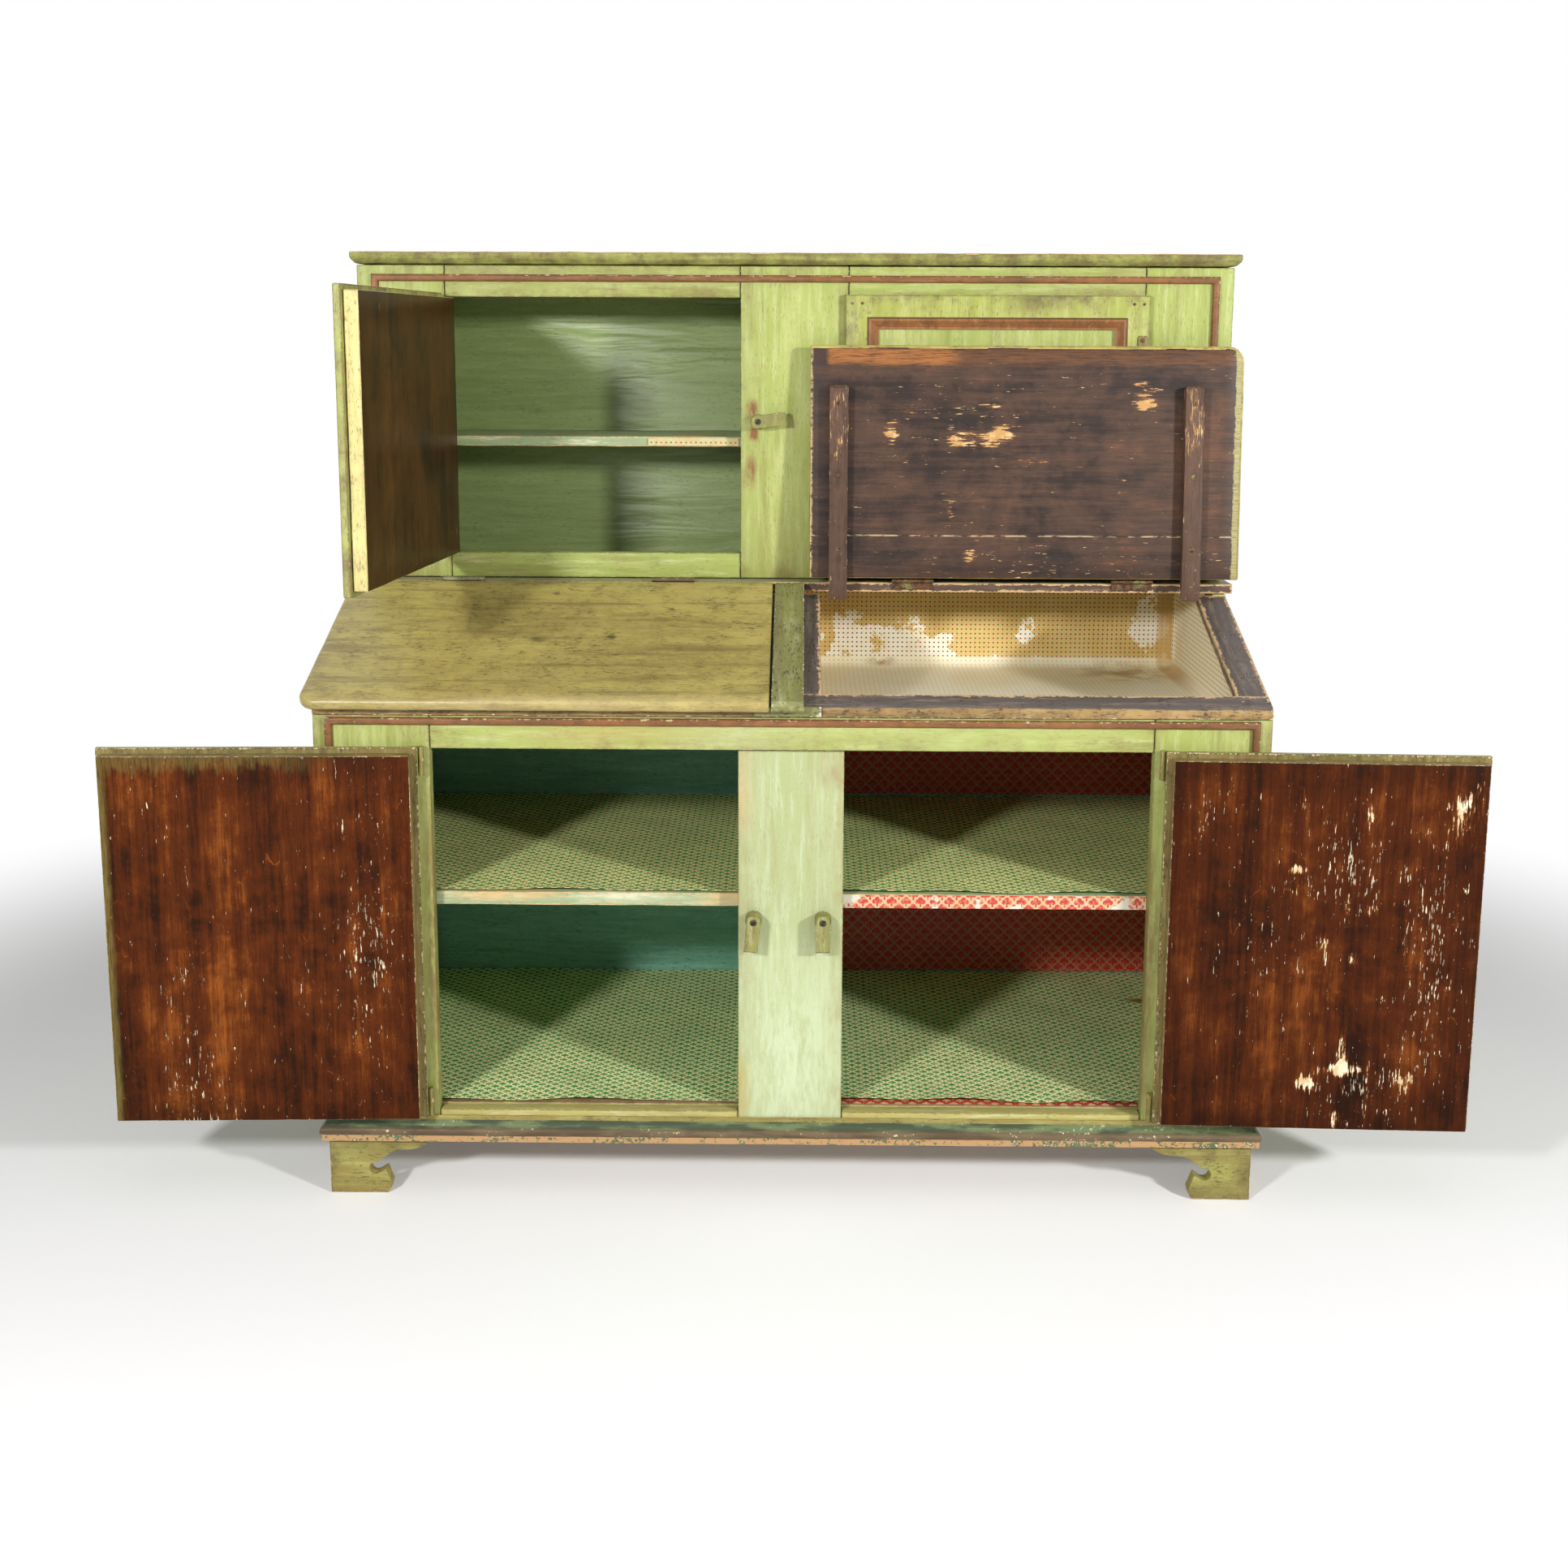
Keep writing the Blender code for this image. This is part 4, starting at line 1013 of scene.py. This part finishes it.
def stained(piece, name, along, flat, lean, tones, chip, soft, flakes, faces, rough=0.42, shine=0.06,
            patch=None):
    """A stained inner face: soft spots thicken the fine specks, and flakes are larger bare places."""
    made, spot, half = begun(name, piece, lean)
    q = grain_of(spot, along, 0.055)
    fibre = q.noise(520.0, 5.0, 0.75)
    band = q.noise(120.0, 5.0, 0.65)
    streak = q.noise(24.0, 5.0, 0.62, 0.3)
    cloud = spot.noise(5.5, 5.0, 0.62)
    mottle = spot.noise(46.0, 5.0, 0.7)
    dark, middle, light = tones
    depth = streak * 0.30 + band * 0.18 + cloud * 0.36 + mottle * 0.16
    colour = depth.step(0.41, 0.52).blend(dark, middle)
    colour = (depth.step(0.505, 0.62) * 0.9).blend(colour, light)
    colour = (fibre.step(0.47, 0.68) * 0.6).blend(colour, dark)
    edge = to_edge(spot, half)
    dirt = (1 - edge.step(0.0, 0.05)) * cloud.step(0.35, 0.6) * 0.55
    colour = dirt.blend(colour, tuple(c * 0.6 for c in dark))
    chipped = drawn_out(spot, along, 0.30, count[0] * 0.37)
    thin = drawn_out(spot, along, 0.13, count[0] * 0.53).noise(430.0, 3.0, 0.6)
    broad = chipped.noise(75.0, 5.0, 0.7)
    density = spots_of(spot, half, flat, soft)
    rim = (1 - edge.step(0.0, 0.004)) * 0.10
    fine = (thin + (broad - 0.5) * 0.6 + density * 1.1 + rim).step(0.735, 0.77)
    wide = [(cu, cv, ru * 1.6, rv * 1.6, much * 0.62) for cu, cv, ru, rv, much in flakes]
    torn = broad * 0.55 + thin * 0.45 + spots_of(spot, half, flat, wide)
    large = torn.step(0.685, 0.70)
    colour = (torn.step(0.60, 0.69) * 0.55).blend(colour, light)
    colour = (fine * (0.45 + 0.55 * mottle.step(0.40, 0.55))).blend(colour, chip)
    aged = tuple(c * d for c, d in zip(chip, (0.8, 0.66, 0.5)))
    colour = large.blend(colour, mottle.step(0.42, 0.56).blend(chip, aged))
    scratch = (1 - abs(chipped.noise(11.0, 3.0, 0.5) - 0.5).step(0.0, 0.003)) * mottle.step(0.50, 0.62)
    colour = (scratch * 0.7).blend(colour, light)
    lost = fine.most(large)
    if patch:
        colour = patch(colour, *shares(spot, half, *flat), fibre, cloud, broad)
    rough = rough + 0.3 * lost + 0.2 * (fibre - 0.5)
    surface(made, colour, rough, fibre * 0.4 + band * 0.3 + lost * 0.7, 0.0005, shine=shine)
    give(piece, made, faces)


print("finishes before the stains:", len(bpy.data.materials))

# %% [markdown]
# The two base doors show most of it, and the right one has lost far more paint than the left. Their edges
# keep an old olive, and the left door's green has run over onto the inside. The upper door is nearly
# whole, and its edges get a paler copy of the sill paint, which is painted light on them. Where large
# flakes are gone, each has its own entry in the second list.

# %% Stained doors
DOOR_TONES = ((0.022, 0.0068, 0.0024), (0.088, 0.0190, 0.0036), (0.27, 0.073, 0.0110))
RIGHT_TONES = ((0.018, 0.0055, 0.0020), (0.066, 0.0140, 0.0028), (0.20, 0.053, 0.0085))
CREAM = (0.76, 0.66, 0.46)
LEANS = {"lower_left": LEFT_AJAR, "lower_right": RIGHT_AJAR, "upper_left": UPPER_AJAR, "upper_right": SQUARE}
EDGES = {"lower_left": "old_edge", "lower_right": "old_edge", "upper_left": "speckled", "upper_right": "lime"}
for word, lean in LEANS.items():
    out = swung(word).to_3x3() @ TO_VIEWER
    painted("door_board_" + word, EDGES[word], lean=lean)
    painted("door_board_" + word, "lime", lean=lean, faces=lambda f: f.normal.dot(out) > 0.9)


def green_border(colour, u, v, fibre, cloud, broad):
    """Old green paint that runs over from the edges of the left door."""
    top = (v + 0.25 * (broad - 0.5) + 0.10 * (cloud - 0.5)).step(0.90, 0.97)
    top = top * (1 - (u + 0.6 * (cloud - 0.5)).step(-0.1, 0.6))
    side = 1 - (u + 0.06 * (broad - 0.5)).step(-0.985, -0.93)
    green = fibre.step(0.4, 0.65).blend((0.24, 0.19, 0.05), (0.12, 0.075, 0.02))
    return (top * 0.35).most(side * 0.6).blend(colour, green)


def to_front(face):
    return face.normal.y < -0.9


stained(boards["door_board_lower_left"], "stain_lower_left", "z", "xz", LEFT_AJAR, DOOR_TONES, CREAM,
        ((0.70, -0.05, 0.38, 1.0, 0.12), (-0.48, -0.80, 0.45, 0.55, 0.11), (-0.55, -0.25, 0.35, 0.35, 0.08),
         (0.25, -0.20, 0.2, 0.35, 0.06), (-0.70, 0.72, 0.35, 0.4, 0.05), (0.6, 0.8, 0.5, 0.4, 0.06)),
        ((-0.42, -0.95, 0.3, 0.08, 0.13), (-0.05, 0.04, 0.05, 0.04, 0.14)), to_front, patch=green_border)
stained(boards["door_board_lower_right"], "stain_lower_right", "z", "xz", RIGHT_AJAR, RIGHT_TONES, CREAM,
        ((0.70, 0.0, 0.40, 1.1, 0.12), (0.15, 0.45, 0.5, 0.6, 0.11), (0.30, -0.75, 0.7, 0.35, 0.12),
         (-0.75, 0.75, 0.4, 0.4, 0.07), (-0.4, 0.0, 0.5, 1.0, 0.06)),
        ((0.84, 0.74, 0.14, 0.20, 0.30), (-0.17, 0.43, 0.09, 0.03, 0.40), (-0.19, 0.31, 0.07, 0.06, 0.28),
         (0.08, 0.71, 0.04, 0.10, 0.30), (0.25, 0.71, 0.05, 0.09, 0.30), (-0.17, 0.80, 0.04, 0.10, 0.26),
         (0.01, 0.0, 0.06, 0.11, 0.30), (0.20, -0.04, 0.04, 0.06, 0.30), (0.17, -0.62, 0.05, 0.22, 0.30),
         (0.17, -0.66, 0.22, 0.04, 0.34), (-0.08, -0.74, 0.13, 0.06, 0.36), (0.56, -0.72, 0.09, 0.08, 0.36),
         (0.30, 0.22, 0.05, 0.05, 0.30), (0.15, 0.25, 0.03, 0.09, 0.26), (0.14, -0.94, 0.06, 0.06, 0.34)),
        to_front)
stained(boards["door_board_upper_left"], "stain_upper_left", "z", "yz", UPPER_AJAR,
        ((0.020, 0.008, 0.003), (0.060, 0.022, 0.005), (0.105, 0.042, 0.009)), (0.42, 0.33, 0.2),
        ((0.0, 0.0, 1.0, 1.0, -0.06),), ((0.0, 0.0, 1.0, 1.0, -0.1),), lambda f: f.normal.x > 0.9, 0.34, 0.2)
print("doors stained:", len(LEANS) - 1)

# %% [markdown]
# The open lid is glued up from two boards, which is seen as a pale joint low across it. Its front edge is
# worn to an orange strip, green paint comes round its right end, and the two battens are stained like it.

# %% Stained lid and battens


def lid_wear(colour, u, v, fibre, cloud, broad):
    """The orange worn strip at the front edge, the green end and the joint between the two boards."""
    left = 1 - (u + 0.2 * (broad - 0.5)).step(-0.36, -0.28)
    strip = (v + 0.10 * (broad - 0.5)).step(0.80, 0.87) * (1 - (v + 0.06 * (broad - 0.5)).step(0.955, 0.975))
    strip = strip * (0.25 + 0.75 * left) * (u + 0.05 * (cloud - 0.5)).step(-0.93, -0.90)
    orange = fibre.step(0.42, 0.66).blend((0.38, 0.15, 0.042), (0.10, 0.04, 0.02))
    colour = (strip * 0.9).blend(colour, orange)
    end = (u + 0.03 * (broad - 0.5)).step(0.958, 0.964)
    green = fibre.step(0.35, 0.7).blend((0.44, 0.40, 0.16), (0.24, 0.20, 0.08))
    colour = (end * 0.9).blend(colour, green)
    start = (1 - (u + 0.05 * (broad - 0.5)).step(-0.994, -0.982)) * broad.step(0.40, 0.50)
    colour = start.blend(colour, (0.55, 0.42, 0.20))
    joint = 1 - abs(v + 0.628 + 0.008 * (cloud - 0.5)).step(0.003, 0.010)
    colour = (joint * 0.6).blend(colour, (0.02, 0.014, 0.01))
    return (joint * broad.step(0.46, 0.56)).blend(colour, (0.46, 0.34, 0.20))


LID_TONES = ((0.026, 0.017, 0.014), (0.082, 0.045, 0.030), (0.180, 0.078, 0.040))
painted("lid_right", "olive", "x", lean=LEANING)
stained(boards["lid_right"], "stain_lid_right", "x", "xz", LEANING, LID_TONES, (0.68, 0.46, 0.22),
        ((-0.35, 0.30, 0.60, 0.50, 0.075), (0.0, -0.85, 1.2, 0.30, 0.08), (0.0, 0.6, 1.0, 0.3, 0.05),
         (-0.33, -0.35, 0.10, 0.35, 0.10), (0.55, 0.5, 0.2, 0.3, 0.07), (0.97, 0.0, 0.06, 1.5, 0.12)),
        ((-0.62, 0.24, 0.05, 0.12, 0.40), (-0.19, 0.20, 0.14, 0.09, 0.36), (-0.33, 0.20, 0.05, 0.08, 0.36),
         (-0.11, 0.27, 0.05, 0.07, 0.38), (0.55, 0.52, 0.07, 0.11, 0.40), (0.53, 0.68, 0.05, 0.03, 0.34),
         (0.0, 0.02, 0.12, 0.04, 0.24), (-0.25, -0.80, 0.05, 0.10, 0.34), (-0.34, -0.45, 0.03, 0.14, 0.26),
         (-0.58, 0.42, 0.10, 0.06, 0.24), (-0.14, 0.48, 0.06, 0.03, 0.28), (0.45, 0.0, 0.25, 0.4, 0.05)),
        to_front, 0.42, 0.22, lid_wear)
BATTEN_TONES = ((0.055, 0.032, 0.022), (0.150, 0.080, 0.050), (0.24, 0.135, 0.078))
for node in named("batten_"):
    stained(boards[node], node + "_stain", "z", "xz", LEANING, BATTEN_TONES, (0.60, 0.40, 0.19),
            ((0.0, 0.75, 3.0, 0.7, 0.14), (0.0, -0.7, 3.0, 0.5, 0.06)), ((0.0, 0.75, 2.0, 0.55, 0.22),), None,
            0.45, 0.22)
print("stained boards done")

# %% [markdown]
# The door frames are green with brown mouldings. The frame's own measure decides: the brown lies between
# two distances from its outer edge, on the side that faces out when the door is shut. At the outer edge of
# the brown, a dark line is painted shadow in the narrow groove there.

# %% Door frames
QUIRK = 0.0368
for word, lean in LEANS.items():
    lip = boards["door_lip_" + word]
    made, spot, half = begun("frame_" + word, lip, lean)
    green, rough, height = worn_colours(spot, half, "cornice", "z")
    brown = worn_colours(spot, half, "brown", "z")[0]
    x, y, z = spot.split()
    wide = half.y - abs(y) if word == "upper_left" else half.x - abs(x)
    inward = wide.least(half.z - abs(z))
    moulding = inward.step(0.0355, 0.0360) * (1 - inward.step(0.0535, 0.0545))
    # painted shadow: a dark line in the narrow groove at the outer edge of the moulding
    quirk = 1 - abs(inward - QUIRK).step(0.0006, 0.0018)
    colour = moulding.blend(green, brown)
    colour = (quirk * 0.75).blend(colour, (0.06, 0.035, 0.015))
    surface(made, colour, rough, height)
    give(lip, made)
    if "lower" in word:
        worn_paint(lip, "old_edge", "z", lean, faces=lambda f: f.normal.y < -0.5)
print("door frames painted")

# %% [markdown]
# The plinth is a stack of bands: an olive fillet on top, a dark green hollow, a brown round and a bare
# foot. Height picks the band, and each has its own wear. The front rim works the same way, from front to
# back: its front is worn to the wood, and its top is charcoal.

# %% Plinth and front rim
plinth = boards["plinth"]
made, spot, half = begun("plinth_bands", plinth)
fillet, rough, height = worn_colours(spot, half, "bracket", "x")
z = spot.split()[2] + 0.0012 * (spot.noise(40.0) - 0.5)
worn = spot.scaled(0.2, 1, 1).noise(60.0, 4.0, 0.6)
torn = worn * 0.45 + spot.noise(190.0, 4.0, 0.65) * 0.55
torus = worn.step(0.40, 0.62).blend((0.092, 0.061, 0.032), (0.155, 0.110, 0.058))
torus = torn.step(0.605, 0.63).blend(torus, (0.66, 0.55, 0.36))
lowest = torn.step(0.525, 0.545).blend((0.48, 0.28, 0.125), (0.085, 0.13, 0.065))
lowest = torn.step(0.60, 0.62).blend(lowest, (0.68, 0.56, 0.36))
hollow = worn.step(0.44, 0.60).blend((0.048, 0.066, 0.033), (0.140, 0.178, 0.077))
hollow = torn.step(0.61, 0.63).blend(hollow, (0.46, 0.42, 0.25))
colour = lowest
for band, low, high in ((torus, -0.0105, -0.0095), (hollow, 0.0015, 0.0026), (fillet, 0.0125, 0.0140)):
    colour = z.step(low, high).blend(colour, band)
surface(made, colour, rough, height)
give(plinth, made)
rim = boards["rim_front"]
made, spot, half = begun("front_rim_bands", rim)
top, rough, height = worn_colours(spot, half, "charcoal", "x")
front = worn_colours(spot, half, "worn_edge", "x")[0]
back = spot.split()[1] + 0.003 * (spot.noise(55.0) - 0.5)
colour = back.step(-0.0155, -0.0140).blend(front, top)
surface(made, colour, rough, height)
give(rim, made)
print("banded mouldings painted")

# %% [markdown]
# The printed cloths and papers repeat one small motif in offset rows. A place is cut into cells, every
# other row is moved half a cell, and distances from a few points of the cell draw three lobes on a stem.

# %% Printed linings


def sprig(u, v, wide, high, size):
    """Sprigs of three lobes on a stem, in rows that are moved half a step each time."""
    found = None
    for shift in (0.0, 0.5):
        a = ((u / wide + shift) % 1.0 - 0.5) * wide
        b = ((v / (2 * high) + shift) % 1.0 - 0.5) * (2 * high)
        beside, above = abs(a) - size * 0.29, b - size * 0.27
        lobes = (beside * beside + b * b).root().least((a * a + above * above).root()) / (size * 0.27)
        stem = (abs(a) / (size * 0.10)).most(abs(b + size * 0.28) / (size * 0.30))
        mark = lobes.least(stem)
        found = mark if found is None else found.least(mark)
    return 1 - found.step(0.85, 1.10)


def printed(piece, name, ground, shade, ink, wide, high, size, flat="xy", stains=None, worn=0.0):
    made, spot, half = begun(name, piece)
    axes = dict(zip("xyz", spot.split()))
    u = axes[flat[0]] + 0.004 * (spot.noise(3.0) - 0.5)
    v = axes[flat[1]] + 0.004 * (spot.noise(4.0) - 0.5)
    fade = spot.noise(9.0, 4.0, 0.6)
    grain = spot.noise(160.0, 2.0)
    colour = fade.step(0.35, 0.65).blend(ground, shade)
    mark = sprig(u, v, wide, high, size) * (1 - 0.5 * grain.step(0.45, 0.65))
    colour = mark.blend(colour, ink)
    if worn:
        gone = (fade * 0.6 + spot.noise(38.0, 3.0) * 0.4 + worn).step(0.60, 0.63)
        colour = gone.blend(colour, (0.62, 0.58, 0.46))
    if stains:
        colour = (spots_of(spot, half, flat, stains) * fade.step(0.2, 0.5)).blend(colour, (0.24, 0.13, 0.012))
    surface(made, colour, 0.55 + 0.1 * (grain - 0.5), grain, 0.00008)
    give(piece, made)


GREEN_INK = (0.028, 0.27, 0.060)
CLOTH_CREAM = {"shelf_left": (0.95, 0.84, 0.37), "shelf_right": (0.95, 0.84, 0.37),
               "floor_left": (0.90, 0.84, 0.43), "floor_right": (0.90, 0.79, 0.42)}
RUST_SPOTS = ((0.80, 0.50, 0.10, 0.05, 1.2), (0.84, 0.34, 0.08, 0.05, 1.0))
for word, cream in CLOTH_CREAM.items():
    shade = tuple(c * 0.86 for c in cream)
    stains = RUST_SPOTS if word == "floor_right" else None
    printed(covers[word.replace("_", "_cover_")], "sprigs_" + word, cream, shade, GREEN_INK,
            0.0205, 0.0083, 0.0109, stains=stains)
printed(covers["floor_underlay_right"], "red_underlay", (0.45, 0.06, 0.04), (0.36, 0.04, 0.03),
        (0.62, 0.42, 0.2), 0.021, 0.0105, 0.0105)
for word in ("low", "high"):
    printed(papers["wall_paper_" + word], "red_paper_" + word, (0.46, 0.17, 0.075), (0.40, 0.14, 0.062),
            (0.46, 0.010, 0.014), 0.0223, 0.0111, 0.0146, "xz")
printed(papers["shelf_edge_paper"], "red_edge", (0.60, 0.38, 0.17), (0.62, 0.46, 0.27), (0.50, 0.045, 0.045),
        0.0215, 0.0105, 0.0140, "xz", worn=0.05)
print("sprigs printed:", len(covers) + len(papers) - 1)

# %% [markdown]
# The oilcloth and the remnant have plain dots instead, red and green in turn. On the oilcloth they lie
# under an ochre varnish that has flaked off in patches, its floor is paler, and damp has stained the far
# right corner. The floor's paler colour and fainter dots are partly the cloth's own and partly painted
# light, and a tan band in the rounded corners beside the right wall is painted shade.

# %% Dotted linings
DOT_STEP = 0.0081


def from_dot(place):
    """How far a place is from the middle of its own dot, in one direction."""
    return (place / DOT_STEP % 1.0 - 0.5) * DOT_STEP


remnant = papers["upper_edge_remnant"]
made, spot, _ = begun("dotted_remnant", remnant)
x, _, z = spot.split()
a, b = from_dot(x), z + 0.001
dot = 1 - (a * a + b * b).root().step(0.0010, 0.0016)
ink = ((x / DOT_STEP).floor() % 3.0).step(1.4, 1.6).blend((0.05, 0.10, 0.04), (0.45, 0.04, 0.02))
torn = spot.noise(70.0, 4.0, 0.65)
colour = dot.blend(torn.step(0.42, 0.58).blend((0.60, 0.44, 0.19), (0.55, 0.52, 0.29)), ink)
surface(made, colour, 0.5, torn, 0.0002)
give(remnant, made)
made, spot, half = begun("oilcloth", lining)
x, y, z = spot.split()
u, v, _ = spot.node("ShaderNodeUVMap", {"uv_map": lining.data.uv_layers[0].name}, {}).split()
a, b = from_dot(u), from_dot(v)
dot = 1 - (a * a + b * b).root().step(0.0012, 0.0018)
odd = ((u / DOT_STEP).floor() + 2.0 * (v / DOT_STEP).floor()) % 3.0
ink = odd.step(0.9, 1.1).blend((0.42, 0.03, 0.015), (0.03, 0.09, 0.04))
cloud = spot.noise(7.0, 5.0, 0.6)
flake = spot.noise(22.0, 5.0, 0.65)
grain = spot.noise(240.0, 2.0)
white = flake.step(0.4, 0.6).blend((0.84, 0.76, 0.56), (0.88, 0.83, 0.70))
ochre = cloud.step(0.35, 0.65).blend((0.62, 0.43, 0.135), (0.72, 0.54, 0.22))
patches = spots_of(spot, half, "xz", (
    (-0.72, -0.45, 0.26, 1.0, 0.30), (-0.38, -0.55, 0.34, 0.9, 0.30), (0.20, -0.10, 0.16, 0.7, 0.24),
    (0.86, -0.20, 0.16, 1.2, 0.30), (0.0, -0.85, 1.6, 0.25, 0.10)))
bare = (cloud * 0.3 + flake * 0.7 + patches).step(0.655, 0.67)
# the floor is paler with fainter dots: partly the cloth's own colour, partly painted light on the floor
floor = 1 - z.step(-0.072, -0.064)
colour = bare.blend(ochre, white)
colour = floor.blend(colour, cloud.step(0.3, 0.7).blend((0.92, 0.83, 0.58), (0.95, 0.90, 0.70)))
right_wall = x.step(0.327, 0.331)
colour = right_wall.blend(colour, (0.90, 0.82, 0.58))
colour = (dot * (1 - 0.68 * floor)).blend(colour, ink)
# painted shade: a tan band in the rounded corners beside the right wall, towards the back
cove = x.step(0.300, 0.312) * (1 - x.step(0.328, 0.333)) * y.step(0.0, 0.2)
colour = (cove * cloud.step(0.3, 0.5) * 0.8).blend(colour, (0.52, 0.32, 0.10))
stain = spots_of(spot, half, "xy", ((0.72, 0.75, 0.40, 0.42, 0.9), (-0.55, 0.97, 0.12, 0.06, 1.0)))
colour = (stain * flake.step(0.35, 0.62) * floor.most(x.step(0.28, 0.33))).blend(colour, (0.42, 0.26, 0.09))
surface(made, colour, 0.42, grain, 0.00006)
give(lining, made)
print("linings printed")

# %% [markdown]
# Iron that was painted over and then rusted: dark brown with olive remains of paint and orange bloom. The
# leaves on the doors and the left lid's hinges wear the paint of the boards beside them, and the screws
# of the buttons are newer and nearly black.

# %% Iron
made, wire = new_finish("rusted_iron")
raw = wire.coordinates()
rust = raw.noise(140.0, 4.0, 0.65)
bloom = raw.noise(45.0, 3.0, 0.6)
olive = rust.step(0.4, 0.6).blend((0.26, 0.22, 0.08), (0.12, 0.10, 0.05))
colour = rust.step(0.40, 0.62).blend((0.055, 0.035, 0.025), (0.19, 0.085, 0.035))
colour = bloom.step(0.50, 0.60).blend(colour, olive)
surface(made, colour, 0.5 + 0.3 * rust, rust, 0.0003, metal=0.35)
for name, piece in list(boards.items()) + list(irons.items()):
    if not piece.data.materials:
        give(piece, made)
    if name.startswith(("leaves_", "left_lid")):
        piece.data.materials.clear()
        worn_paint(piece, "bracket" if "leaves" in name else "ledge", "z")
made, wire = new_finish("dark_iron")
speck = wire.coordinates().noise(300.0).step(0.4, 0.6)
surface(made, speck.blend((0.020, 0.016, 0.013), (0.060, 0.042, 0.028)), 0.5)
for node in BUTTON_PINS:
    irons[node].data.materials.clear()
    give(irons[node], made)
print("pieces without a finish:", [n for n, p in boards.items() if not p.data.materials])

# %% [markdown]
# The camera stands where the photograph was taken, a little above the lids and looking down at them, and
# its shift keeps the object high in the frame.

# %% Camera
EYE = (0.0128, -2.7675, 1.2864)
YAW, DOWN, ROLL = 0.0095, 0.1671, 0.0041
lens = bpy.data.cameras.new("photograph")
lens.sensor_width = 36
lens.lens = 40.815
lens.shift_y = -0.0915
camera = link(bpy.data.objects.new("photograph", lens))
aim = Matrix.Rotation(YAW, 4, "Z") @ Matrix.Rotation(math.pi / 2 - DOWN, 4, "X")
aim = aim @ Matrix.Rotation(ROLL, 4, "Z")
camera.matrix_world = Matrix.Translation(EYE) @ aim
bpy.context.scene.camera = camera
print("camera above the floor:", EYE[2], "in front of the middle:", -EYE[1])

# %% [markdown]
# Two small lamps, left and right in front, throw the crossing shadows that the cupboards show. A large
# faint one hangs above, and a weak even light fills the rest. The floor is pale and keeps the shadows
# near the piece; farther out it fades to the white that the eye, and a reflection, sees behind
# everything.

# %% Light and floor
FILL = 0.14
FLOOR_GLOW = 0.10


def lamp(name, where, target, size, power):
    light = bpy.data.lights.new(name, "AREA")
    light.size = size
    light.energy = power
    holder = link(bpy.data.objects.new(name, light))
    holder.location = where
    holder.rotation_euler = (Vector(target) - Vector(where)).to_track_quat("-Z", "Y").to_euler()


def background_rays(wire):
    """One where the eye, or a reflection, meets the backdrop."""
    kinds = ("Is Camera Ray", "Is Glossy Ray", "Is Transmission Ray")
    found = [wire.node("ShaderNodeLightPath", {}, {}, kind) for kind in kinds]
    return found[0].most(found[1]).most(found[2])


lamp("left_lamp", (-1.62, -2.9, 1.80), (0, 0, 0.7), 0.30, 73)
lamp("right_lamp", (2.75, -2.7, 1.80), (0, 0, 0.7), 0.30, 114)
lamp("ceiling", (0, -1.3, 3.6), (0, -0.4, 0), 3.0, 20)
world = bpy.data.worlds.new("studio")
bpy.context.scene.world = world
world.use_nodes = True
seen = background_rays(Wire(world.node_tree))
backdrop = world.node_tree.nodes["Background"]
backdrop.inputs["Color"].default_value = (1, 1, 1, 1)
world.node_tree.links.new((FILL + (1 - FILL) * seen).socket, backdrop.inputs["Strength"])
ground = added(bpy.ops.mesh.primitive_plane_add, "studio_floor", (40, 40, 1), (0, 0, -0.0005))
made, wire = new_finish("pale_floor")
x, y, _ = wire.coordinates().split()
away = (x * x + y * y).root().step(1.45, 2.6)
plain = wire.node("ShaderNodeBsdfDiffuse", {}, {"Color": (0.92, 0.92, 0.92)})
faint = wire.node("ShaderNodeEmission", {}, {"Color": (1.0, 1.0, 1.0), "Strength": FLOOR_GLOW})
lit = wire.node("ShaderNodeAddShader", {}, {0: plain, 1: faint})
glow = wire.node("ShaderNodeEmission", {}, {"Color": (1.0, 1.0, 1.0), "Strength": 1.0})
mixed = wire.node("ShaderNodeMixShader", {}, {0: background_rays(wire) * away, 1: lit, 2: glow})
wire.tree.links.new(mixed.socket, wire.tree.nodes["Material Output"].inputs["Surface"])
give(ground, made)
bpy.context.scene.view_settings.view_transform = "Standard"
print("lights:", len(bpy.data.lights))

# %% [markdown]
# Last, the scene is brought up to date. Edges were only ever pushed inwards, so the finished piece should
# lie inside the size of the imported model.

# %% Finish
bpy.context.view_layer.update()
